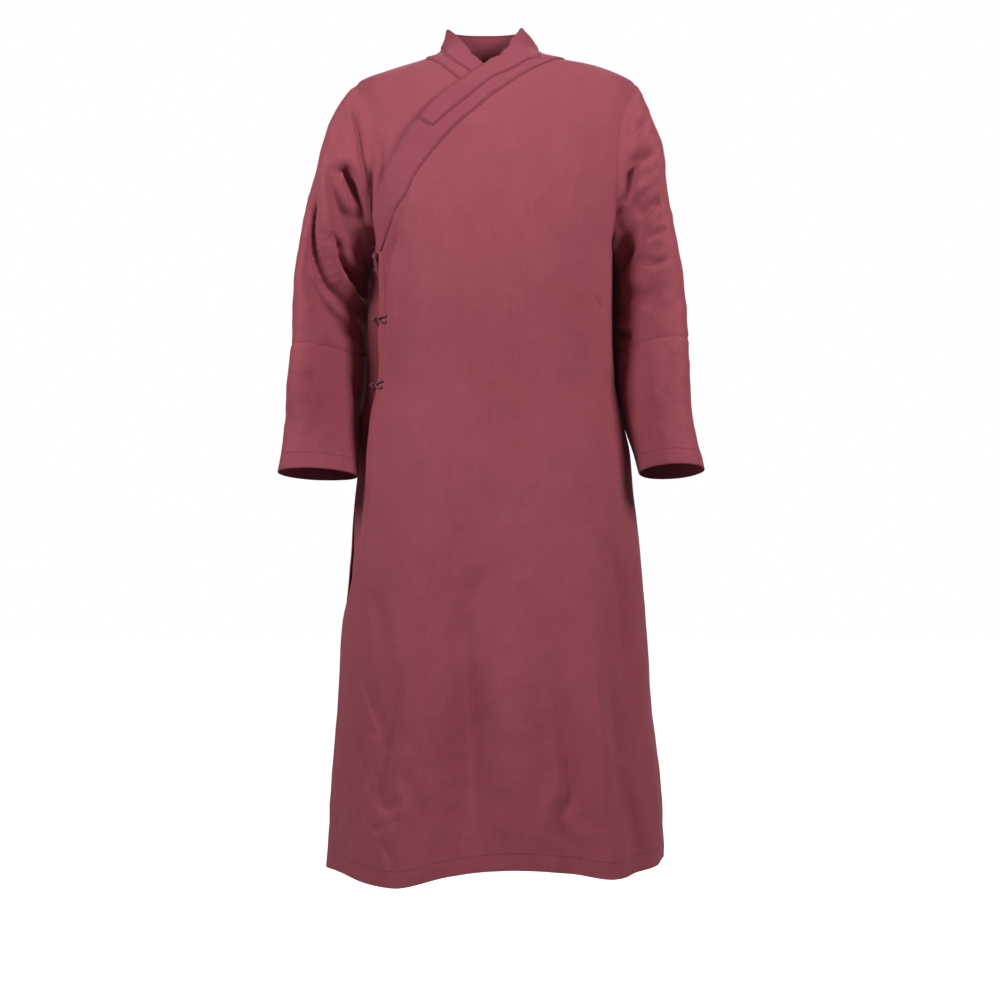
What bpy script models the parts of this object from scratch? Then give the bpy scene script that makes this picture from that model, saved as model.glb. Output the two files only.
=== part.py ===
"""Buddhist monk robe, as it is worn.

A long robe with a crossed collar. The wide outer front laps over the under front and closes at the
wearer's right underarm with a side tie and two knot buttons. The front faces -Y, the wearer's left
is +X, and +Z is up. The origin is where the robe hangs on the shoulders, at the foot of the neck.

Every body piece is a patch of one smooth form. The form is a stack of rounded sections: for an angle
phi round the body (0 in front, 90 at the wearer's left, 180 behind) and a height z, the point is
x = centre + half width * sin(phi)^q and y = -depth * cos(phi)^q, moved out along the normal by folds
and by the layers that lie on each other. A sleeve is a row of oval rings from the armhole, which lies
on the form, to the cuff.
"""

import bmesh
import bpy
import numpy as np

# Cloth, in metres
CLOTH = 0.0018
BAND_CLOTH = 0.0015
SEAM_GAP = 0.0003
BAND_GAP = 0.0010
BAND_STEP = 0.013
BAND_SAMPLES = 16

# Overlap of the two fronts: spacing at the collar and below it, outer face to outer face
LAP_AT_COLLAR = 0.0078
LAP_BELOW = 0.0028
LAP_TOP_Z = -0.125
LAP_LOW_Z = -0.175
LAP_RIGHT = -30.0
LAP_LEFT = 25.0
UNDER_HANG = 0.008
UNDER_HANG_TOP_Z = -0.62
UNDER_HANG_LOW_Z = -0.95

# Body sections
SECTION_POWER = 2.3
# height, centre x, half width, front depth, back depth
SECTIONS = (
    (0.0600, -0.0080, 0.0560, 0.043, 0.051),
    (0.0480, -0.0080, 0.0590, 0.046, 0.054),
    (0.0300, -0.0030, 0.0680, 0.053, 0.062),
    (0.0090, -0.0005, 0.0815, 0.060, 0.070),
    (0.0010, 0.0010, 0.0940, 0.065, 0.076),
    (-0.0060, 0.0050, 0.1230, 0.069, 0.081),
    (-0.0160, 0.0155, 0.1685, 0.075, 0.088),
    (-0.0250, 0.0143, 0.1953, 0.081, 0.094),
    (-0.0330, 0.0110, 0.2160, 0.085, 0.098),
    (-0.0410, 0.0100, 0.2290, 0.089, 0.102),
    (-0.0700, 0.0100, 0.2350, 0.099, 0.112),
    (-0.1100, 0.0090, 0.2360, 0.110, 0.122),
    (-0.1800, 0.0080, 0.2330, 0.125, 0.130),
    (-0.2600, 0.0070, 0.2180, 0.135, 0.132),
    (-0.3300, 0.0060, 0.1990, 0.140, 0.128),
    (-0.4300, 0.0060, 0.1970, 0.141, 0.124),
    (-0.5300, 0.0070, 0.1980, 0.142, 0.126),
    (-0.6000, 0.0070, 0.2120, 0.144, 0.134),
    (-0.6640, 0.0080, 0.2250, 0.147, 0.144),
    (-0.7140, 0.0080, 0.2300, 0.150, 0.150),
    (-0.8300, 0.0100, 0.2400, 0.157, 0.158),
    (-0.9630, 0.0100, 0.2520, 0.167, 0.168),
    (-1.0620, 0.0090, 0.2580, 0.175, 0.176),
    (-1.1620, 0.0100, 0.2680, 0.184, 0.185),
    (-1.2280, 0.0110, 0.2740, 0.190, 0.190),
    (-1.3450, 0.0110, 0.2820, 0.199, 0.199),
)

# Heights of the body
SHOULDER_Z = -0.041
UNDERARM_Z = -0.330
HEM_Z = -1.320
HEM_WAVE_TOP_Z = -0.950
SHOULDER_ROWS = (
    0.020, 0.0155, 0.011, 0.0065, 0.0025, -0.001, -0.005,
    -0.009, -0.014, -0.019, -0.0245, -0.030, -0.0355,
)
BODY_ROWS = 14
BACK_COLUMNS = 24
OUTER_COLUMNS = 20
UNDER_COLUMNS = 10

# Hem line: angle round the body, height
HEM_LINE = (
    (-98.0, -1.341),
    (-68.0, -1.329),
    (-31.0, -1.339),
    (-12.0, -1.318),
    (5.0, -1.308),
    (22.0, -1.316),
    (38.0, -1.328),
    (58.0, -1.321),
    (82.0, -1.310),
    (110.0, -1.322),
    (135.0, -1.314),
    (160.0, -1.325),
    (185.0, -1.315),
    (210.0, -1.327),
    (235.0, -1.318),
    (262.0, -1.341),
)

# Skirt folds: angle at the hem, angle at the top, spread, height of the top, depth at the hem
SKIRT_FOLDS = (
    (-62.0, -58.0, 12.0, -0.78, -0.007),
    (-30.0, -26.0, 13.0, -0.70, 0.011),
    (-6.5, -4.0, 8.0, -0.72, -0.010),
    (8.0, 6.0, 8.0, -0.80, 0.003),
    (23.0, 14.0, 7.0, -0.82, -0.009),
    (38.0, 33.0, 9.0, -0.75, 0.009),
    (51.0, 45.0, 6.0, -0.74, -0.007),
    (66.0, 62.0, 9.0, -0.80, 0.007),
    (104.0, 100.0, 9.0, -0.74, -0.008),
    (124.0, 120.0, 11.0, -0.66, 0.011),
    (146.0, 144.0, 9.0, -0.72, -0.010),
    (166.0, 168.0, 10.0, -0.66, 0.010),
    (186.0, 184.0, 8.0, -0.76, -0.010),
    (207.0, 206.0, 11.0, -0.68, 0.011),
    (231.0, 236.0, 9.0, -0.74, -0.009),
    (251.0, 252.0, 9.0, -0.80, 0.007),
)

# Edge of the outer front, from the neck to the side tie and down the open side: height, angle
OUTER_EDGE = (
    (0.0200, 82.0),
    (0.0129, 56.1),
    (0.0015, 40.1),
    (-0.0072, 29.1),
    (-0.0138, 12.4),
    (-0.0233, 1.9),
    (-0.0390, -3.3),
    (-0.0570, -9.3),
    (-0.0810, -16.1),
    (-0.1000, -22.8),
    (-0.1230, -29.8),
    (-0.1670, -40.1),
    (-0.1980, -47.1),
    (-0.2360, -54.2),
    (-0.2720, -59.5),
    (-0.3060, -64.1),
    (-0.3235, -66.2),
    (-0.4050, -68.0),
    (-0.4850, -71.0),
    (-0.5670, -71.5),
    (-0.6400, -67.0),
    (-0.7000, -64.0),
    (-0.7800, -64.0),
    (-0.8760, -72.0),
    (-0.9400, -84.0),
    (-1.0000, -90.0),
    (-1.1000, -92.0),
    (-1.3450, -94.0),
)

# Free edge of the under front, hidden below the crossing: height, angle
UNDER_EDGE = (
    (0.0200, -82.0),
    (0.0089, -43.9),
    (-0.0033, -25.0),
    (-0.0147, -15.6),
    (-0.0268, -6.4),
    (-0.0470, 1.0),
    (-0.0750, 8.0),
    (-0.1200, 17.0),
    (-0.2000, 25.0),
    (-0.3000, 30.0),
    (-1.3450, 32.0),
)

# The back's hemmed edge stands out at the open side: height, distance
SIDE_FLARE = (
    (-0.345, 0.000),
    (-0.400, 0.009),
    (-0.450, 0.013),
    (-0.530, 0.014),
    (-0.610, 0.008),
    (-0.700, 0.000),
)
FLARE_FRONT = -80.0
FLARE_MIDDLE = -90.0
FLARE_BACK = -112.0

# Neckband. Angles run on past 180 round the back of the neck.
# angle and height of the lower edge, angle and height of the upper edge
NECKBAND = (
    (-21.4, -0.1324, -27.0, -0.1166),
    (-15.8, -0.1122, -21.0, -0.0885),
    (-9.7, -0.0898, -14.6, -0.0675),
    (-4.6, -0.0690, -9.6, -0.0510),
    (-0.9, -0.0523, -5.2, -0.0350),
    (1.8, -0.0440, -2.9, -0.0215),
    (5.0, -0.0364, 4.3, -0.0070),
    (11.2, -0.0206, 17.2, 0.0060),
    (24.5, -0.0115, 26.0, 0.0210),
    (45.8, -0.0009, 50.0, 0.0380),
    (68.5, 0.0075, 70.0, 0.0470),
    (90.0, 0.0150, 90.0, 0.0490),
    (112.0, 0.0150, 112.0, 0.0500),
    (135.0, 0.0150, 135.0, 0.0515),
    (158.0, 0.0150, 158.0, 0.0525),
    (180.0, 0.0150, 180.0, 0.0530),
    (202.0, 0.0150, 202.0, 0.0525),
    (225.0, 0.0150, 225.0, 0.0515),
    (248.0, 0.0150, 248.0, 0.0500),
    (270.0, 0.0150, 270.0, 0.0485),
    (292.6, 0.0094, 292.0, 0.0445),
    (312.9, 0.0006, 314.0, 0.0320),
    (329.5, -0.0098, 328.1, 0.0180),
    (340.4, -0.0212, 343.2, 0.0000),
    (350.0, -0.0339, 352.5, -0.0190),
    (355.5, -0.0480, 359.5, -0.0350),
    (361.0, -0.0640, 366.5, -0.0500),
    (366.5, -0.0840, 372.5, -0.0700),
    (372.0, -0.1060, 378.0, -0.0920),
)
NECKBAND_END_BULGE = 0.55
BAND_COLUMNS = 3

# Outer band: angle and height of the inner edge, angle and height of the outer edge
OUTER_BAND = (
    (-65.9, -0.3235, -62.5, -0.3260),
    (-63.8, -0.3061, -56.0, -0.3084),
    (-59.2, -0.2730, -46.8, -0.2768),
    (-56.2, -0.2510, -40.5, -0.2540),
    (-51.8, -0.2260, -35.6, -0.2370),
    (-46.8, -0.1983, -31.8, -0.2160),
    (-39.9, -0.1672, -26.8, -0.1925),
    (-29.6, -0.1230, -20.6, -0.1660),
    (-22.6, -0.1004, -15.4, -0.1430),
    (-15.9, -0.0808, -9.8, -0.1200),
    (-9.1, -0.0573, -4.2, -0.0970),
    (-3.2, -0.0391, 0.4, -0.0740),
    (2.1, -0.0237, 4.6, -0.0560),
    (12.5, -0.0139, 11.0, -0.0370),
    (29.4, -0.0073, 20.3, -0.0220),
    (40.3, 0.0012, 32.8, -0.0134),
    (56.0, 0.0124, 52.8, -0.0093),
    (72.5, 0.0182, 72.5, -0.0055),
    (90.0, 0.0200, 90.0, -0.0036),
    (112.0, 0.0200, 111.4, -0.0074),
    (135.0, 0.0200, 134.3, -0.0099),
    (158.0, 0.0200, 157.6, -0.0115),
    (180.0, 0.0200, 179.9, -0.0119),
    (202.0, 0.0200, 201.7, -0.0109),
    (225.0, 0.0200, 224.4, -0.0077),
    (248.0, 0.0200, 247.7, -0.0039),
    (270.0, 0.0200, 270.0, -0.0010),
    (288.2, 0.0172, 290.2, -0.0039),
    (304.6, 0.0121, 308.3, -0.0089),
    (319.6, 0.0063, 323.6, -0.0157),
    (333.4, -0.0020, 335.6, -0.0255),
    (344.2, -0.0144, 344.5, -0.0389),
    (353.4, -0.0267, 349.5, -0.0560),
    (360.8, -0.0465, 355.5, -0.0760),
    (367.8, -0.0745, 362.5, -0.0980),
)

# Sleeves
RING_HALF_DEPTH = 0.074
RING_POINTS = 20
SEAM_RING = 11.0
SEAM_RING_LENGTH = 0.040
CUFF_RINGS = 6
CALM_RINGS = 1.5
# outer x, outer z, inner x, inner z, centre y, half depth, forward tilt in degrees, swing: how far the
# inner side lies behind the centre and the outer side in front of it
LEFT_RINGS = (
    (0.2460, -0.050, 0.2085, -0.334, -0.002, 0.079, 0.0, 0.004),
    (0.2568, -0.075, 0.2115, -0.339, -0.003, 0.080, 0.0, 0.012),
    (0.2696, -0.112, 0.2115, -0.346, -0.005, 0.080, 0.0, 0.024),
    (0.2822, -0.155, 0.2085, -0.354, -0.007, 0.077, 0.0, 0.036),
    (0.2892, -0.205, 0.2055, -0.364, -0.008, 0.073, 0.5, 0.046),
    (0.2960, -0.255, 0.2030, -0.376, -0.009, 0.070, 1.0, 0.053),
    (0.3026, -0.305, 0.2015, -0.392, -0.011, 0.067, 2.0, 0.057),
    (0.3100, -0.355, 0.2010, -0.413, -0.014, 0.064, 3.0, 0.059),
    (0.3156, -0.400, 0.2010, -0.439, -0.018, 0.062, 5.0, 0.060),
    (0.3182, -0.440, 0.2020, -0.464, -0.023, 0.060, 7.0, 0.060),
    (0.3192, -0.470, 0.2035, -0.488, -0.029, 0.059, 8.0, 0.059),
    (0.3187, -0.515, 0.2065, -0.526, -0.039, 0.058, 9.0, 0.056),
    (0.3204, -0.560, 0.2120, -0.567, -0.050, 0.057, 10.0, 0.050),
    (0.3272, -0.610, 0.2230, -0.614, -0.063, 0.057, 11.0, 0.042),
    (0.3355, -0.648, 0.2345, -0.651, -0.074, 0.057, 12.0, 0.035),
    (0.3435, -0.682, 0.2430, -0.686, -0.084, 0.057, 12.0, 0.030),
)
RIGHT_RINGS = (
    (0.2305, -0.050, 0.1975, -0.334, -0.002, 0.079, 0.0, 0.004),
    (0.2438, -0.070, 0.2025, -0.338, -0.003, 0.080, 0.0, 0.012),
    (0.2582, -0.100, 0.2045, -0.344, -0.005, 0.080, 0.0, 0.024),
    (0.2734, -0.145, 0.2045, -0.352, -0.007, 0.077, 0.0, 0.036),
    (0.2840, -0.195, 0.2035, -0.362, -0.008, 0.073, 0.5, 0.047),
    (0.2960, -0.245, 0.2020, -0.374, -0.009, 0.069, 1.0, 0.055),
    (0.3080, -0.297, 0.2010, -0.389, -0.010, 0.065, 2.0, 0.060),
    (0.3146, -0.350, 0.2005, -0.410, -0.012, 0.062, 3.0, 0.063),
    (0.3180, -0.400, 0.2005, -0.438, -0.016, 0.059, 5.0, 0.065),
    (0.3191, -0.443, 0.2010, -0.466, -0.021, 0.057, 7.0, 0.066),
    (0.3193, -0.480, 0.2020, -0.497, -0.027, 0.055, 8.0, 0.066),
    (0.3215, -0.520, 0.2060, -0.531, -0.036, 0.053, 9.0, 0.065),
    (0.3247, -0.563, 0.2140, -0.571, -0.047, 0.050, 10.0, 0.058),
    (0.3300, -0.608, 0.2190, -0.614, -0.060, 0.047, 11.0, 0.044),
    (0.3358, -0.650, 0.2185, -0.655, -0.073, 0.046, 12.0, 0.034),
    (0.3410, -0.686, 0.2155, -0.691, -0.083, 0.046, 12.0, 0.028),
)

# Large sleeve folds, each a line of (ring angle, ring number) with a spread and a depth
LEFT_FOLDS = (
    (((60.0, 3.0), (95.0, 3.8), (135.0, 4.6)), 0.016, 0.006),
    (((20.0, 5.0), (60.0, 6.4), (110.0, 7.2)), 0.018, 0.005),
    (((50.0, 8.6), (110.0, 8.9), (165.0, 8.2)), 0.015, 0.005),
    (((200.0, 7.0), (245.0, 6.0), (300.0, 4.6)), 0.018, 0.006),
    (((215.0, 9.0), (260.0, 9.0), (310.0, 8.2)), 0.015, 0.004),
)
RIGHT_FOLDS = (
    (((28.0, 4.2), (48.0, 6.4), (100.0, 8.2), (150.0, 8.8)), 0.017, 0.009),
    (((75.0, 3.2), (100.0, 5.0), (140.0, 6.6)), 0.015, 0.006),
    (((20.0, 7.2), (70.0, 9.0), (130.0, 9.9)), 0.015, 0.005),
    (((200.0, 7.6), (250.0, 6.4), (305.0, 4.6)), 0.018, 0.006),
    (((215.0, 9.2), (260.0, 9.0), (310.0, 8.0)), 0.015, 0.004),
)

# Share of a fold line at which its fading starts and the length over which it goes on
FOLD_FADE = (0.12, 0.76)
FOLD_SAMPLES = 24

# Side tie and knot buttons
TIE_ANGLE = -70.4
TIE_Z = -0.332
TIE_KNOT_RADIUS = 0.0062
TIE_LIFT = 0.0052
TIE_END_RADIUS = 0.0022
TIE_END_TUCK = 0.0004
# angle at the knot, angle at the tip, length
TIE_ENDS = (
    (-71.3, -73.2, 0.020),
    (-69.5, -68.8, 0.028),
)
BUTTON_HEIGHTS = (-0.436, -0.543)
BUTTON_RADIUS = 0.0055
BUTTON_CORD_RADIUS = 0.0019
BUTTON_LOOP_LENGTH = 10.0
BUTTON_LOOP_HALF = 0.0048
BUTTON_SEAT = 2.75
BUTTON_LEG = 13.0
BUTTON_LIFT = 0.0004
LOOP_POINTS = 15
# along the leg and knob: share of the length, radius as a share of the knob's, height of the middle
KNOB_PROFILE = (
    (0.00, 0.00, 0.0018),
    (0.03, 0.29, 0.0018),
    (0.45, 0.33, 0.0022),
    (0.52, 0.64, 0.0037),
    (0.60, 0.90, 0.0055),
    (0.72, 1.00, 0.0055),
    (0.86, 0.85, 0.0055),
    (0.96, 0.45, 0.0055),
    (1.00, 0.00, 0.0055),
)
KNOB_REACH = 3.0
TIE_POINTS = 7
TIE_END_TAPER = (0.0, 0.9, 1.0, 1.0, 1.0, 0.9, 0.0)
CORD_SIDES = 6
KNOT_SIDES = 8

# Colours: linear red, green, blue
ROBE_COLOUR = (0.30, 0.075, 0.095, 1.0)
BAND_COLOUR = (0.29, 0.070, 0.090, 1.0)
CORD_COLOUR = (0.19, 0.045, 0.058, 1.0)
CLOTH_ROUGHNESS = 0.85

# Steps for slopes
ANGLE_STEP = 0.4
HEIGHT_STEP = 0.002
RING_STEP = 0.04


def smooth_table(rows, at):
    """Values of a table's columns at given keys, by a cubic through its rows with limited slopes."""
    table = np.array(sorted(rows), dtype=float)
    keys = table[:, 0]
    values = table[:, 1:]
    at = np.clip(np.asarray(at, dtype=float), keys[0], keys[-1])
    spans = np.diff(keys)
    rises = np.diff(values, axis=0) / spans[:, None]
    slopes = np.zeros_like(values)
    slopes[0] = rises[0]
    slopes[-1] = rises[-1]
    before = rises[:-1]
    after = rises[1:]
    total = before + after
    level = (before * after) <= 0.0
    slopes[1:-1] = np.where(level, 0.0, 2.0 * before * after / np.where(level, 1.0, total))
    place = np.clip(np.searchsorted(keys, at, side="right") - 1, 0, len(keys) - 2)
    span = spans[place]
    t = ((at - keys[place]) / span)[..., None]
    span = span[..., None]
    near = (2 * t**3 - 3 * t**2 + 1) * values[place] + (t**3 - 2 * t**2 + t) * span * slopes[place]
    far = (3 * t**2 - 2 * t**3) * values[place + 1] + (t**3 - t**2) * span * slopes[place + 1]
    return near + far


def ease(t):
    """A soft step from 0 to 1."""
    t = np.clip(t, 0.0, 1.0)
    return t * t * (3.0 - 2.0 * t)


def unit(vectors):
    """Vectors scaled to length 1."""
    return vectors / np.linalg.norm(vectors, axis=-1, keepdims=True)


def wrapped(angle):
    """An angle brought between -180 and 180 degrees."""
    return (np.asarray(angle) + 180.0) % 360.0 - 180.0


def signed_power(values, power):
    """Power of the size, with the sign kept."""
    return np.sign(values) * np.abs(values) ** power


def skirt_folds(phi, z):
    """Distance that the skirt's folds stand out: soft ridges and troughs that deepen to the hem."""
    out = np.zeros(np.broadcast(phi, z).shape)
    for hem_angle, top_angle, spread, top_z, depth in SKIRT_FOLDS:
        down = np.clip((top_z - z) / (top_z - HEM_Z), 0.0, 1.0)
        away = wrapped(phi - (top_angle + (hem_angle - top_angle) * down))
        out = out + depth * ease(down) * np.exp(-((away / spread) ** 2))
    return out


def hem_shift(phi, z):
    """How far a point near the hem moves up or down to follow the hem line."""
    start = HEM_LINE[0][0]
    line = smooth_table(HEM_LINE, (phi - start) % 360.0 + start)[..., 0]
    return (line - HEM_Z) * ease((HEM_WAVE_TOP_Z - z) / (HEM_WAVE_TOP_Z - HEM_Z))


def form_base(phi, z):
    """The body form's points, before layers: rounded sections stacked by height."""
    phi, z = np.broadcast_arrays(np.asarray(phi, dtype=float), np.asarray(z, dtype=float))
    section = smooth_table(SECTIONS, z)
    centre, half, front, back = (section[..., i] for i in range(4))
    power = 2.0 / SECTION_POWER
    turn = np.radians(phi)
    depth = np.where(np.cos(turn) > 0.0, front, back)
    x = centre + half * signed_power(np.sin(turn), power)
    y = -depth * signed_power(np.cos(turn), power)
    return np.stack([x, y, z + hem_shift(phi, z)], axis=-1)


def form_normal(phi, z):
    """Outward normals of the form, from its slopes round and down the body."""
    around = form_base(phi + ANGLE_STEP, z) - form_base(phi - ANGLE_STEP, z)
    up = form_base(phi, z + HEIGHT_STEP) - form_base(phi, z - HEIGHT_STEP)
    return unit(np.cross(around, up))


def form(phi, z, out=0.0):
    """Points of the form with its folds, moved out by a distance."""
    moved = skirt_folds(phi, z) + out
    return form_base(phi, z) + form_normal(phi, z) * moved[..., None]


def lap(z):
    """Spacing of the two fronts at a height."""
    return LAP_AT_COLLAR + (LAP_BELOW - LAP_AT_COLLAR) * ease((LAP_TOP_Z - z) / (LAP_TOP_Z - LAP_LOW_Z))


def lap_share(phi):
    """Share of the spacing that the outer front takes: all at the wearer's right, none at the left."""
    return ease((LAP_LEFT - wrapped(phi)) / (LAP_LEFT - LAP_RIGHT))


def outer_layer(phi, z):
    """How far the outer front stands out of the form."""
    return lap(z) * lap_share(phi)


def under_layer(phi, z):
    """How far the under front lies inside the form, further in where it hangs free below the hips."""
    hang = UNDER_HANG * ease((UNDER_HANG_TOP_Z - z) / (UNDER_HANG_TOP_Z - UNDER_HANG_LOW_Z))
    return -lap(z) * (1.0 - lap_share(phi)) - hang


def side_flare(phi, z):
    """How far the back's edge and the under front beside it stand out at the open side."""
    size = smooth_table(SIDE_FLARE, z)[..., 0]
    angle = wrapped(phi)
    front = ease((FLARE_FRONT - angle) / (FLARE_FRONT - FLARE_MIDDLE))
    back = ease((angle - FLARE_BACK) / (FLARE_MIDDLE - FLARE_BACK))
    return size * front * back


def under_side_layer(phi, z):
    """How far the under front lies from the form, with the flare at the open side."""
    return under_layer(phi, z) + side_flare(phi, z)


def ring_half_depth(z):
    """Half depth of the armhole at a height, no less than half a seam gap."""
    middle = 0.5 * (SHOULDER_Z + UNDERARM_Z)
    half = 0.5 * (SHOULDER_Z - UNDERARM_Z)
    across = np.clip(1.0 - ((z - middle) / half) ** 2, 0.0, 1.0)
    return np.maximum(RING_HALF_DEPTH * np.sqrt(across), 0.5 * SEAM_GAP)


def side_angle(z, back=False):
    """Angle from the front, or from behind, at which a panel ends: the armhole or the side seam."""
    depth = smooth_table(SECTIONS, z)[..., 3 if back else 2]
    return np.degrees(np.arccos((ring_half_depth(z) / depth) ** (SECTION_POWER / 2.0)))


def body_heights():
    """Row heights from the neckline to the hem, with the armhole's rows where the ring has points."""
    turns = np.radians(np.linspace(0.0, 180.0, RING_POINTS // 2 + 1))
    middle = 0.5 * (SHOULDER_Z + UNDERARM_Z)
    armhole = middle + 0.5 * (SHOULDER_Z - UNDERARM_Z) * np.cos(turns)
    below = np.linspace(UNDERARM_Z, HEM_Z, BODY_ROWS + 1)[1:]
    return np.concatenate([SHOULDER_ROWS, armhole, below])


def armhole_rows(heights):
    """Which rows belong to the armhole."""
    return (heights <= SHOULDER_Z + 1e-9) & (heights >= UNDERARM_Z - 1e-9)


def ring_turn(z):
    """Angle round the armhole ring at a height, 0 at the shoulder and 180 at the underarm."""
    middle = 0.5 * (SHOULDER_Z + UNDERARM_Z)
    half = 0.5 * (SHOULDER_Z - UNDERARM_Z)
    return np.degrees(np.arccos(np.clip((z - middle) / half, -1.0, 1.0)))


def sleeve_rings(side, psi):
    """All rings of a sleeve at ring angles psi: 0 outside, 90 in front, 180 inside, 270 behind."""
    psi = np.asarray(psi, dtype=float)
    turn = np.radians(psi)
    height = 0.5 * (SHOULDER_Z + UNDERARM_Z) + 0.5 * (SHOULDER_Z - UNDERARM_Z) * np.cos(turn)
    section = smooth_table(SECTIONS, height)
    depth = np.where(np.sin(turn) > 0.0, section[..., 2], section[..., 3])
    inward = RING_HALF_DEPTH * np.abs(np.sin(turn))
    width = section[..., 1] * (1.0 - (inward / depth) ** SECTION_POWER) ** (1.0 / SECTION_POWER)
    x = section[..., 0] + side * width
    rings = [np.stack([x, -RING_HALF_DEPTH * np.sin(turn), height], axis=-1)]
    for outer_x, outer_z, inner_x, inner_z, centre_y, half_depth, tilt, swing in (
        LEFT_RINGS if side > 0 else RIGHT_RINGS
    ):
        outside = np.array([side * outer_x, centre_y - swing, outer_z])
        inside = np.array([side * inner_x, centre_y + swing, inner_z])
        lean = np.radians(tilt)
        forward = half_depth * np.array([0.0, -np.cos(lean), np.sin(lean)])
        centre = 0.5 * (outside + inside)
        reach = 0.5 * (outside - inside)
        rings.append(centre + np.cos(turn)[..., None] * reach + np.sin(turn)[..., None] * forward)
    return np.array(rings)


def sleeve_base(side, psi, s):
    """A sleeve's points at ring angles psi and ring numbers s, by a cubic along the arm."""
    rings = sleeve_rings(side, psi)
    last = len(rings) - 1
    s = np.clip(np.asarray(s, dtype=float), 0.0, last)
    place = np.minimum(s.astype(int), last - 1)
    t = (s - place)[..., None]
    column = np.arange(rings.shape[1])

    def ring(number):
        return rings[np.clip(number, 0, last), column]

    p0, p1, p2, p3 = ring(place - 1), ring(place), ring(place + 1), ring(place + 2)
    start = 0.5 * (p2 - p0)
    end = 0.5 * (p3 - p1)
    near = (2 * t**3 - 3 * t**2 + 1) * p1 + (t**3 - 2 * t**2 + t) * start
    return near + (3 * t**2 - 2 * t**3) * p2 + (t**3 - t**2) * end


def sleeve_normal(side, psi, s):
    """Outward normals of a sleeve."""
    last = len(LEFT_RINGS)
    around = sleeve_base(side, psi + 1.0, s) - sleeve_base(side, psi - 1.0, s)
    ahead = np.clip(s + RING_STEP, 0.0, last)
    behind = np.clip(s - RING_STEP, 0.0, last)
    along = sleeve_base(side, psi, ahead) - sleeve_base(side, psi, behind)
    return unit(np.cross(around, along)) * side


def pressed(points, path, spread, depth):
    """Distance to move in near a fold line: deepest on the line, fading across and at its ends."""
    start, length = FOLD_FADE
    fade = np.sin(np.pi * (start + length * np.linspace(0.0, 1.0, len(path))))
    away = np.linalg.norm(points[..., None, :] - path, axis=-1)
    return depth * np.max(np.exp(-((away / spread) ** 2)) * fade, axis=-1)


def sleeve_folds(side, points):
    """Distance that a sleeve's large folds press in."""
    inward = np.zeros(points.shape[:-1])
    for line, spread, depth in LEFT_FOLDS if side > 0 else RIGHT_FOLDS:
        knots = np.array(line)
        spaced = np.linspace(0.0, len(knots) - 1.0, FOLD_SAMPLES)
        psi = np.interp(spaced, np.arange(len(knots)), knots[:, 0])
        s = np.interp(spaced, np.arange(len(knots)), knots[:, 1])
        path = sleeve_base(side, psi, s)
        inward = inward + pressed(points, path, spread, depth)
    return inward


def make_material(name, colour):
    """A plain cloth material."""
    material = bpy.data.materials.new(name)
    material.use_nodes = True
    shader = material.node_tree.nodes["Principled BSDF"]
    shader.inputs["Base Color"].default_value = colour
    shader.inputs["Roughness"].default_value = CLOTH_ROUGHNESS
    shader.inputs["Metallic"].default_value = 0.0
    return material


def add_object(name, vertices, faces, material, collection):
    """A closed mesh as an object, its faces pointing out."""
    mesh = bpy.data.meshes.new(name)
    mesh.from_pydata([tuple(v) for v in vertices], [], faces)
    work = bmesh.new()
    work.from_mesh(mesh)
    bmesh.ops.recalc_face_normals(work, faces=work.faces)
    work.to_mesh(mesh)
    work.free()
    mesh.shade_smooth()
    mesh.materials.append(material)
    made = bpy.data.objects.new(name, mesh)
    collection.objects.link(made)
    return made


def make_wall(name, outer, inner, closed, material, collection):
    """A cloth wall between an outer and an inner grid of points, closed round its rims."""
    rows, columns = outer.shape[:2]
    count = rows * columns
    vertices = np.concatenate([outer.reshape(-1, 3), inner.reshape(-1, 3)])
    faces = []

    def at(row, column, layer):
        return layer * count + row * columns + column % columns

    across = columns if closed else columns - 1
    for row in range(rows - 1):
        for column in range(across):
            for layer in (0, 1):
                a, b = at(row, column, layer), at(row, column + 1, layer)
                c, d = at(row + 1, column + 1, layer), at(row + 1, column, layer)
                faces.extend([[a, b, c], [a, c, d]] if layer == 0 else [[c, b, a], [d, c, a]])
    for column in range(across):
        for row in (0, rows - 1):
            near, far = column, column + 1
            rim = [at(row, near, 0), at(row, near, 1), at(row, far, 1), at(row, far, 0)]
            faces.append(rim if row == 0 else rim[::-1])
    if not closed:
        for row in range(rows - 1):
            for column in (0, columns - 1):
                near, far = row, row + 1
                rim = [at(near, column, 0), at(far, column, 0), at(far, column, 1), at(near, column, 1)]
                faces.append(rim if column == 0 else rim[::-1])
    return add_object(name, vertices, faces, material, collection)


def mitre(side, psi):
    """Inward direction of the joint between body and sleeve, between the two normals."""
    psi = np.asarray(psi, dtype=float)
    turn = np.radians(psi)
    height = 0.5 * (SHOULDER_Z + UNDERARM_Z) + 0.5 * (SHOULDER_Z - UNDERARM_Z) * np.cos(turn)
    front = np.sin(turn) >= 0.0
    angle = np.where(front, side_angle(height), 180.0 - side_angle(height, back=True))
    body = form_normal(side * angle, height)
    sleeve = sleeve_normal(side, psi, np.full(psi.shape, 0.5))
    return unit(body + sleeve)


def panel(heights, left, right, columns, layer):
    """Outer and inner grids of a body panel between two edge angles at each height."""
    share = np.linspace(0.0, 1.0, columns + 1)
    phi = left[:, None] + (right - left)[:, None] * share
    z = np.broadcast_to(heights[:, None], phi.shape)
    out = layer(phi, z)
    return form(phi, z, out), form(phi, z, out - CLOTH)


def fit_armhole(outer, inner, heights, column, side, back):
    """Turn a panel's rim at the armhole so that it lies along the joint with the sleeve."""
    rows = armhole_rows(heights)
    turn = ring_turn(heights[rows])
    psi = 360.0 - turn if back else turn
    inner[rows, column] = outer[rows, column] - CLOTH * mitre(side, psi)


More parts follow.
